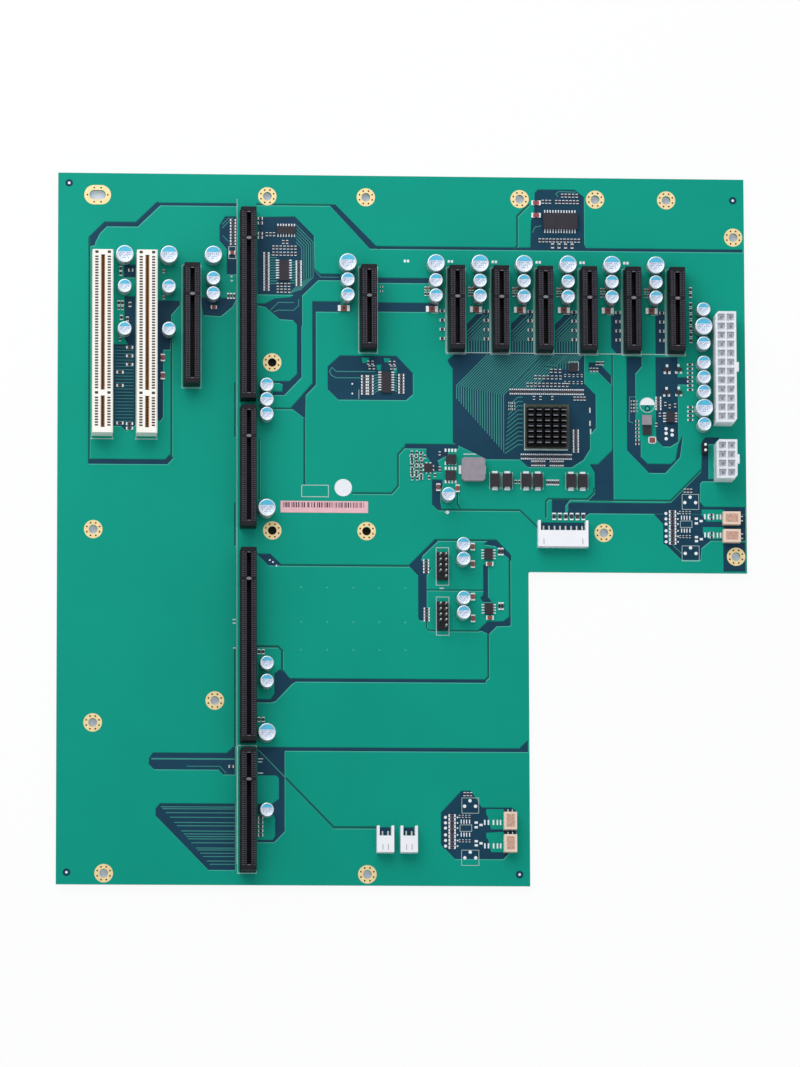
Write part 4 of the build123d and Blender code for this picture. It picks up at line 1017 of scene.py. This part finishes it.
def make_cans(node, radius, height, piece_name):
    """Turned cans with a bead near the foot and a rounded shoulder, in place of the faceted ones."""
    vertices, faces, materials = [], [], []
    dashes, segments = Layer(), Layer()
    top = BOARD_TOP + height
    profile = [(radius - inset * MM, BOARD_TOP + rise * MM) for inset, rise in CAN_FOOT]
    for angle in (math.radians(degrees) for degrees in (0, 22.5, 45, 67.5, 90)):
        profile.append((radius - SHOULDER * (1 - math.cos(angle)), top - SHOULDER * (1 - math.sin(angle))))
    rim_radius = radius - SHOULDER - 0.08 * MM
    profile += [(rim_radius, top), (rim_radius - 0.1 * MM, top - RIM_DROP), (0.02 * MM, top - RIM_DROP)]
    bands = [1, 1] + [0] * (len(profile) - 4) + [2]
    face = height - RIM_DROP
    cap = rim_radius - 0.11 * MM
    start = math.asin(SEGMENT_CHORD)
    angles = [start + (math.pi - 2 * start) * k / SEGMENT_STEPS for k in range(SEGMENT_STEPS + 1)]
    for low, high in islands(nodes[node].data):
        centre = middle(low, high)
        lathe(profile, bands, centre, vertices, faces, materials)
        segments.prism(arc(centre, cap, angles), face - UNDERSIDE_GAP, face + 0.03 * MM)
        for line, (offset, half) in enumerate(DASH_ROWS):
            for dash in range(6):
                if (dash + line) % 4 != 3:
                    dashes.cover((centre.x + cap * half * (dash - 2.5) / 2.5, centre.y + cap * offset),
                                 (cap * half * 0.26, cap * 0.11), face)
    piece = add_mesh(piece_name, vertices, faces, CAN, CAN_BASE, CAN_TOP)
    piece.data.polygons.foreach_set("material_index", materials)
    piece.data.polygons.foreach_set("use_smooth", [len(face) == 4 for face in faces])
    piece.data.validate()
    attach(piece, "root")
    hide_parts(node)
    segments.build(piece_name + "_segments", CAN_MARK, "can_aluminium")
    dashes.build(piece_name + "_dashes", CAN_PRINT, "can_aluminium")


make_cans("large_capacitors", 4.0 * MM, 8.5 * MM, "large_cans")
make_cans("small_capacitors", 3.15 * MM, 8.0 * MM, "small_cans")

# Painted highlights along the front top edges of the heat sink's fins
SINK_COLUMNS, SINK_ROWS = 5, 7
SINK_PITCH = Vector((3.8, 2.54)) * MM
SINK_FIN_DEPTH = 1.5 * MM
SINK_EDGE_SIZE = Vector((2.2, 0.35)) * MM
SINK_EDGE_INSET = 0.2 * MM
sink_low, sink_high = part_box("heat_sink")
sink_middle = middle(sink_low, sink_high)
sink_highlights = Layer()
for column in range(SINK_COLUMNS):
    for fin in range(SINK_ROWS):
        x = sink_middle.x + (column - (SINK_COLUMNS - 1) / 2) * SINK_PITCH.x
        y = sink_middle.y + (fin - (SINK_ROWS - 1) / 2) * SINK_PITCH.y - SINK_FIN_DEPTH / 2 + SINK_EDGE_INSET
        sink_highlights.cover((x, y), SINK_EDGE_SIZE, sink_high.z - BOARD_TOP)
sink_highlights.build("heat_sink_fin_highlights", SINK_EDGE_HIGHLIGHT, "sink_anodised")

# Grooves in the white headers as flat grey marks with their shade painted in, painted shade on the board
# behind them, and the hollows of the beige headers with their shade partly painted in
SLIT_SIZE = Vector((0.3, 2.6)) * MM
SLIT_BACK = 2.3 * MM
NARROW_HEADER = 10 * MM
NARROW_SLIT_OUT = 1.25 * MM
WIDE_SLIT_INSET = 2.6 * MM
HEADER_SHADE_DEPTH = 3.4 * MM
HEADER_SHADE_INSET = 1.9 * MM
HOLLOW_MARGIN = Vector((2.2, 2.0)) * MM
JUMPER_TIP = 0.62 * MM
slit_shades = Layer()
for name in ("eight_way_header", "two_way_header_left", "two_way_header_right"):
    low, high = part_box(name)
    centre, width = middle(low, high), high.x - low.x
    away = NARROW_SLIT_OUT if width < NARROW_HEADER else width / 2 - WIDE_SLIT_INSET
    # each groove is a flat grey mark: painted shade
    for side in (-1, 1):
        slit_shades.cover((centre.x + side * away, low.y + SLIT_BACK), SLIT_SIZE, high.z - BOARD_TOP)
    # painted shade: a dark strip of bare-laminate colour on the board behind the header, where the pins'
    # shade falls
    clearances_and_shades.block((centre.x, high.y - HEADER_SHADE_INSET), (width - WIDE_SLIT_INSET, HEADER_SHADE_DEPTH))
slit_shades.build("header_slit_shades", SHADE_GREY, "header_white")
shaded_hollows = Layer()
# A flat darker patch on each top stands for the hollow: partly its own colour, partly painted shade
for name in beige_headers:
    low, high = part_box(name)
    shaded_hollows.cover(middle(low, high), (high - low).xy - HOLLOW_MARGIN, high.z - BOARD_TOP)
shaded_hollows.build("beige_header_hollow_shades", BEIGE_HOLLOW_SHADE, "header_beige")
for low, high in islands(nodes["jumper_header_pins"].data):
    top = high.z - BOARD_TOP
    ends.disc(middle(low, high), JUMPER_TIP, 14, top - UNDERSIDE_GAP, top + PROUD)

# Metal ends round the larger chip capacitors, and frames round the tantalum ones
CAP_END = 1.3 * MM
CAP_SKIN = 0.04 * MM
CAP_WINDOW = Vector((1.1, 1.0)) * MM
FRAME_LINE = 0.25 * MM
FRAME_MARGIN = 1.0 * MM
FRAME_PAD = Vector((2.6, 1.2)) * MM
FRAME_PAD_INSET = 0.2 * MM
for low, high in islands(nodes["chip_capacitors"].data):
    centre, depth, top = middle(low, high), high.y - low.y, high.z - BOARD_TOP
    for x in (low.x + CAP_END / 2 - CAP_SKIN, high.x - CAP_END / 2 + CAP_SKIN):
        ends.block((x, centre.y), (CAP_END, depth + 2 * CAP_SKIN), high=top + CAP_SKIN)
    bodies.cover(centre, CAP_WINDOW, top)
for low, high in islands(nodes["tantalum_capacitors"].data):
    x, half = middle(low, high).x, (high.x - low.x) / 2 + FRAME_LINE
    front_y, rear_y = low.y - FRAME_MARGIN, high.y + FRAME_MARGIN
    for side in (-1, 1):
        silk.block((x + side * half, (front_y + rear_y) / 2), (FRAME_LINE, rear_y - front_y))
    for y in (front_y + FRAME_PAD_INSET, rear_y - FRAME_PAD_INSET):
        pads.block((x, y), FRAME_PAD)

# Linings of the power inlets' cells, with the pins' tips in a dark grey that is partly the pins and partly
# their painted shade
INLET_PITCH = 4.2 * MM
INLET_END = 2.7 * MM
CELL = 3.3 * MM
CELL_SHOWN_DEPTH = 1.8 * MM
LINING_THICKNESS = 1.0 * MM
PIN_TIP_SHIFT = PIN_TIP_HEIGHT = 0.3 * MM
PIN_TIP = Vector((1.0, 1.3)) * MM
linings = Layer()
pin_tips_and_shade = Layer()
for name, rows in (("long_power_inlet", 12), ("short_power_inlet", 4)):
    low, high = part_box(name)
    pin_x = middle(*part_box(name + "_pins")).x
    shown = high.z - BOARD_TOP - CELL_SHOWN_DEPTH
    for column in (-0.5, 0.5):
        for cell in range(rows):
            spot = (pin_x + column * INLET_PITCH, high.y - INLET_END - cell * INLET_PITCH)
            linings.block(spot, (CELL - PROUD, CELL - PROUD), shown - LINING_THICKNESS, shown)
            pin_tips_and_shade.block((spot[0] + PIN_TIP_SHIFT, spot[1]), PIN_TIP, shown - UNDERSIDE_GAP,
                       shown + PIN_TIP_HEIGHT)
linings.build("inlet_cell_linings", NYLON, "inlet_nylon")
pin_tips_and_shade.build("inlet_pin_tips_with_painted_shade", SHADE_GREY, "pin_tin")

# Pads under the chips' leads
PAD_ALONG = 0.6 * MM
PAD_ASIDE = 0.15 * MM
for low, high in islands(nodes["chip_leads"].data):
    width, depth = high.x - low.x, high.y - low.y
    more_width, more_depth = (PAD_ASIDE, PAD_ALONG) if depth > width else (PAD_ALONG, PAD_ASIDE)
    pads.block(middle(low, high), (width + more_width, depth + more_depth))

pads.build("bare_pads", TIN, "lead_tin")
# The dots' own light green, which the painted edge highlights share
dots.build("masked_dots", EDGE_HIGHLIGHT_AND_DOT_GREEN)
clearances_and_shades.build("pad_clearances_and_header_shade", BARE_AND_SHADE)
silk.build("silkscreen", SILK)
bodies.build("chip_resistors", RESISTOR, "chip_moulding")
brown_bodies.build("brown_chip_parts", CERAMIC, "chip_ceramic")
red_bodies.build("red_chip_parts", RED_CHIP, "chip_ceramic")
ends.build("chip_part_ends", TIN, "lead_tin")

# Bars printed on the long label
label_low, label_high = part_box("long_label")
label_top = label_high.z - BOARD_TOP
bar_y = middle(label_low, label_high).y + 0.9 * MM
bars = Layer()
bar_x = label_low.x + 1.4 * MM
while bar_x < label_high.x - 1.6 * MM:
    bar_width = random.choice((0.25, 0.4, 0.6)) * MM
    bars.block((bar_x, bar_y), (bar_width, 2.4 * MM), label_top - UNDERSIDE_GAP, label_top + 0.015 * MM)
    bar_x += bar_width + random.choice((0.35, 0.5, 0.8)) * MM
bars.build("label_bars", INK, "label_paper")

# Floor: white to the camera and in reflections, and dull to the light, so that it keeps the object's shadow
FLOOR_HALF = 3.0
FLOOR_WHITE_SHARE = 0.92
floor_material = bpy.data.materials.new("floor_white")
floor_material.use_nodes = True
tree = floor_material.node_tree
shader = tree.nodes["Principled BSDF"]
set_inputs(shader, Base_Color=(0.9, 0.9, 0.9, 1), Roughness=0.9)
glow = add_node(tree, "Emission", Strength=1.0)
rays = add_node(tree, "LightPath")
seen = add_node(tree, "Math")
seen.operation = "MAXIMUM"
share = add_node(tree, "Math")
share.operation = "MULTIPLY"
share.inputs[1].default_value = FLOOR_WHITE_SHARE
blend = add_node(tree, "MixShader")
connect(
    tree, (rays, "Is Camera Ray", seen, 0), (rays, "Is Glossy Ray", seen, 1), (seen, 0, share, 0),
    (share, 0, blend, 0), (shader, "BSDF", blend, 1), (glow, "Emission", blend, 2),
    (blend, "Shader", tree.nodes["Material Output"], "Surface"))
floor_corners = rectangle(-FLOOR_HALF, -FLOOR_HALF, FLOOR_HALF, FLOOR_HALF)
add_mesh("floor", [(x, y, 0) for x, y in floor_corners], [(0, 1, 2, 3)], floor_material)

# A patch of floor under the board, which shows through the screw holes: it takes the board's real shade, and
# a faint painted lavender glow lightens it
PATCH_INSET = 2 * MM
PATCH_RISE = 0.1 * MM
notch_x = board_low.x + 216.2 * MM - PATCH_INSET
notch_y = board_high.y - 184.1 * MM + PATCH_INSET
left_x, right_x = board_low.x + PATCH_INSET, board_high.x - PATCH_INSET
rear_y, front_y = board_high.y - PATCH_INSET, board_low.y + PATCH_INSET
patch_outline = ((left_x, front_y), (notch_x, front_y), (notch_x, notch_y), (right_x, notch_y),
                 (right_x, rear_y), (left_x, rear_y))
patch_glow = finish("floor_patch_painted_glow", (240, 240, 248), 0.05, 0.8, 20)
# painted glow: a faint lavender emission that lightens the shaded patch
set_inputs(patch_glow.node_tree.nodes["Principled BSDF"], Emission_Color=(0.85, 0.75, 0.9, 1),
           Emission_Strength=0.22)
add_mesh("floor_patch", [(x, y, PATCH_RISE) for x, y in patch_outline], [range(6)], patch_glow)

# The floor is in deep shade under three of the screw holes
SHADE_RADIUS = 3 * MM
SHADE_RISE = 0.2 * MM
SHADE_SHIFT = Vector((0.25, 0.5)) * MM
SHADE_SIDES = 24
shade_points = []
for place in ((98.5, 87.8), (98.5, 165.9), (141.8, 165.9)):
    outline = round_outline(from_corner(*place) + SHADE_SHIFT, SHADE_RADIUS, 0, SHADE_SIDES)
    shade_points += [(x, y, SHADE_RISE) for x, y in outline]
shade_faces = [range(first, first + SHADE_SIDES) for first in range(0, len(shade_points), SHADE_SIDES)]
deep_shade = finish("deep_shade", (52, 38, 34), 0.15, 0.8, 200)
add_mesh("hole_shades", shade_points, shade_faces, deep_shade)

# Light
world = bpy.data.worlds.new("studio")
bpy.context.scene.world = world
world.use_nodes = True
set_inputs(world.node_tree.nodes["Background"], Color=(0.9, 0.95, 1.0, 1), Strength=0.62)


def lamp(name, place, size, power):
    """A soft square lamp turned to the board's centre."""
    light = bpy.data.lights.new(name, "AREA")
    light.size = size
    light.energy = power
    holder = add_object(name, light)
    holder.location = place
    holder.rotation_euler = (-Vector(place)).to_track_quat("-Z", "Y").to_euler()


lamp("key", (-0.3, 0.62, 0.62), 0.9, 5.6)
lamp("fill", (0.9, -0.7, 1.2), 1.4, 1.5)

# Camera: a long lens high above the board, leaning a little to the front and to the left
CAMERA_DISTANCE = 3.6
LEAN_LEFT = math.radians(4.0)
LEAN_FRONT = math.radians(8.6)
ROLL = math.radians(-0.17)
AIM = Vector((-1.75, -3.2, 9.0)) * MM
camera_data = bpy.data.cameras.new("camera")
camera_data.lens = 265.3
camera_data.sensor_fit = "VERTICAL"
camera_data.sensor_height = 36.0
camera_data.clip_end = 50
camera = add_object("camera", camera_data)
turn = (Matrix.Rotation(-LEAN_LEFT, 4, "Y") @ Matrix.Rotation(LEAN_FRONT, 4, "X")
        @ Matrix.Rotation(ROLL, 4, "Z"))
camera.matrix_world = Matrix.Translation(AIM) @ turn @ Matrix.Translation((0, 0, CAMERA_DISTANCE))
bpy.context.scene.camera = camera

bpy.context.scene.view_settings.view_transform = "Standard"
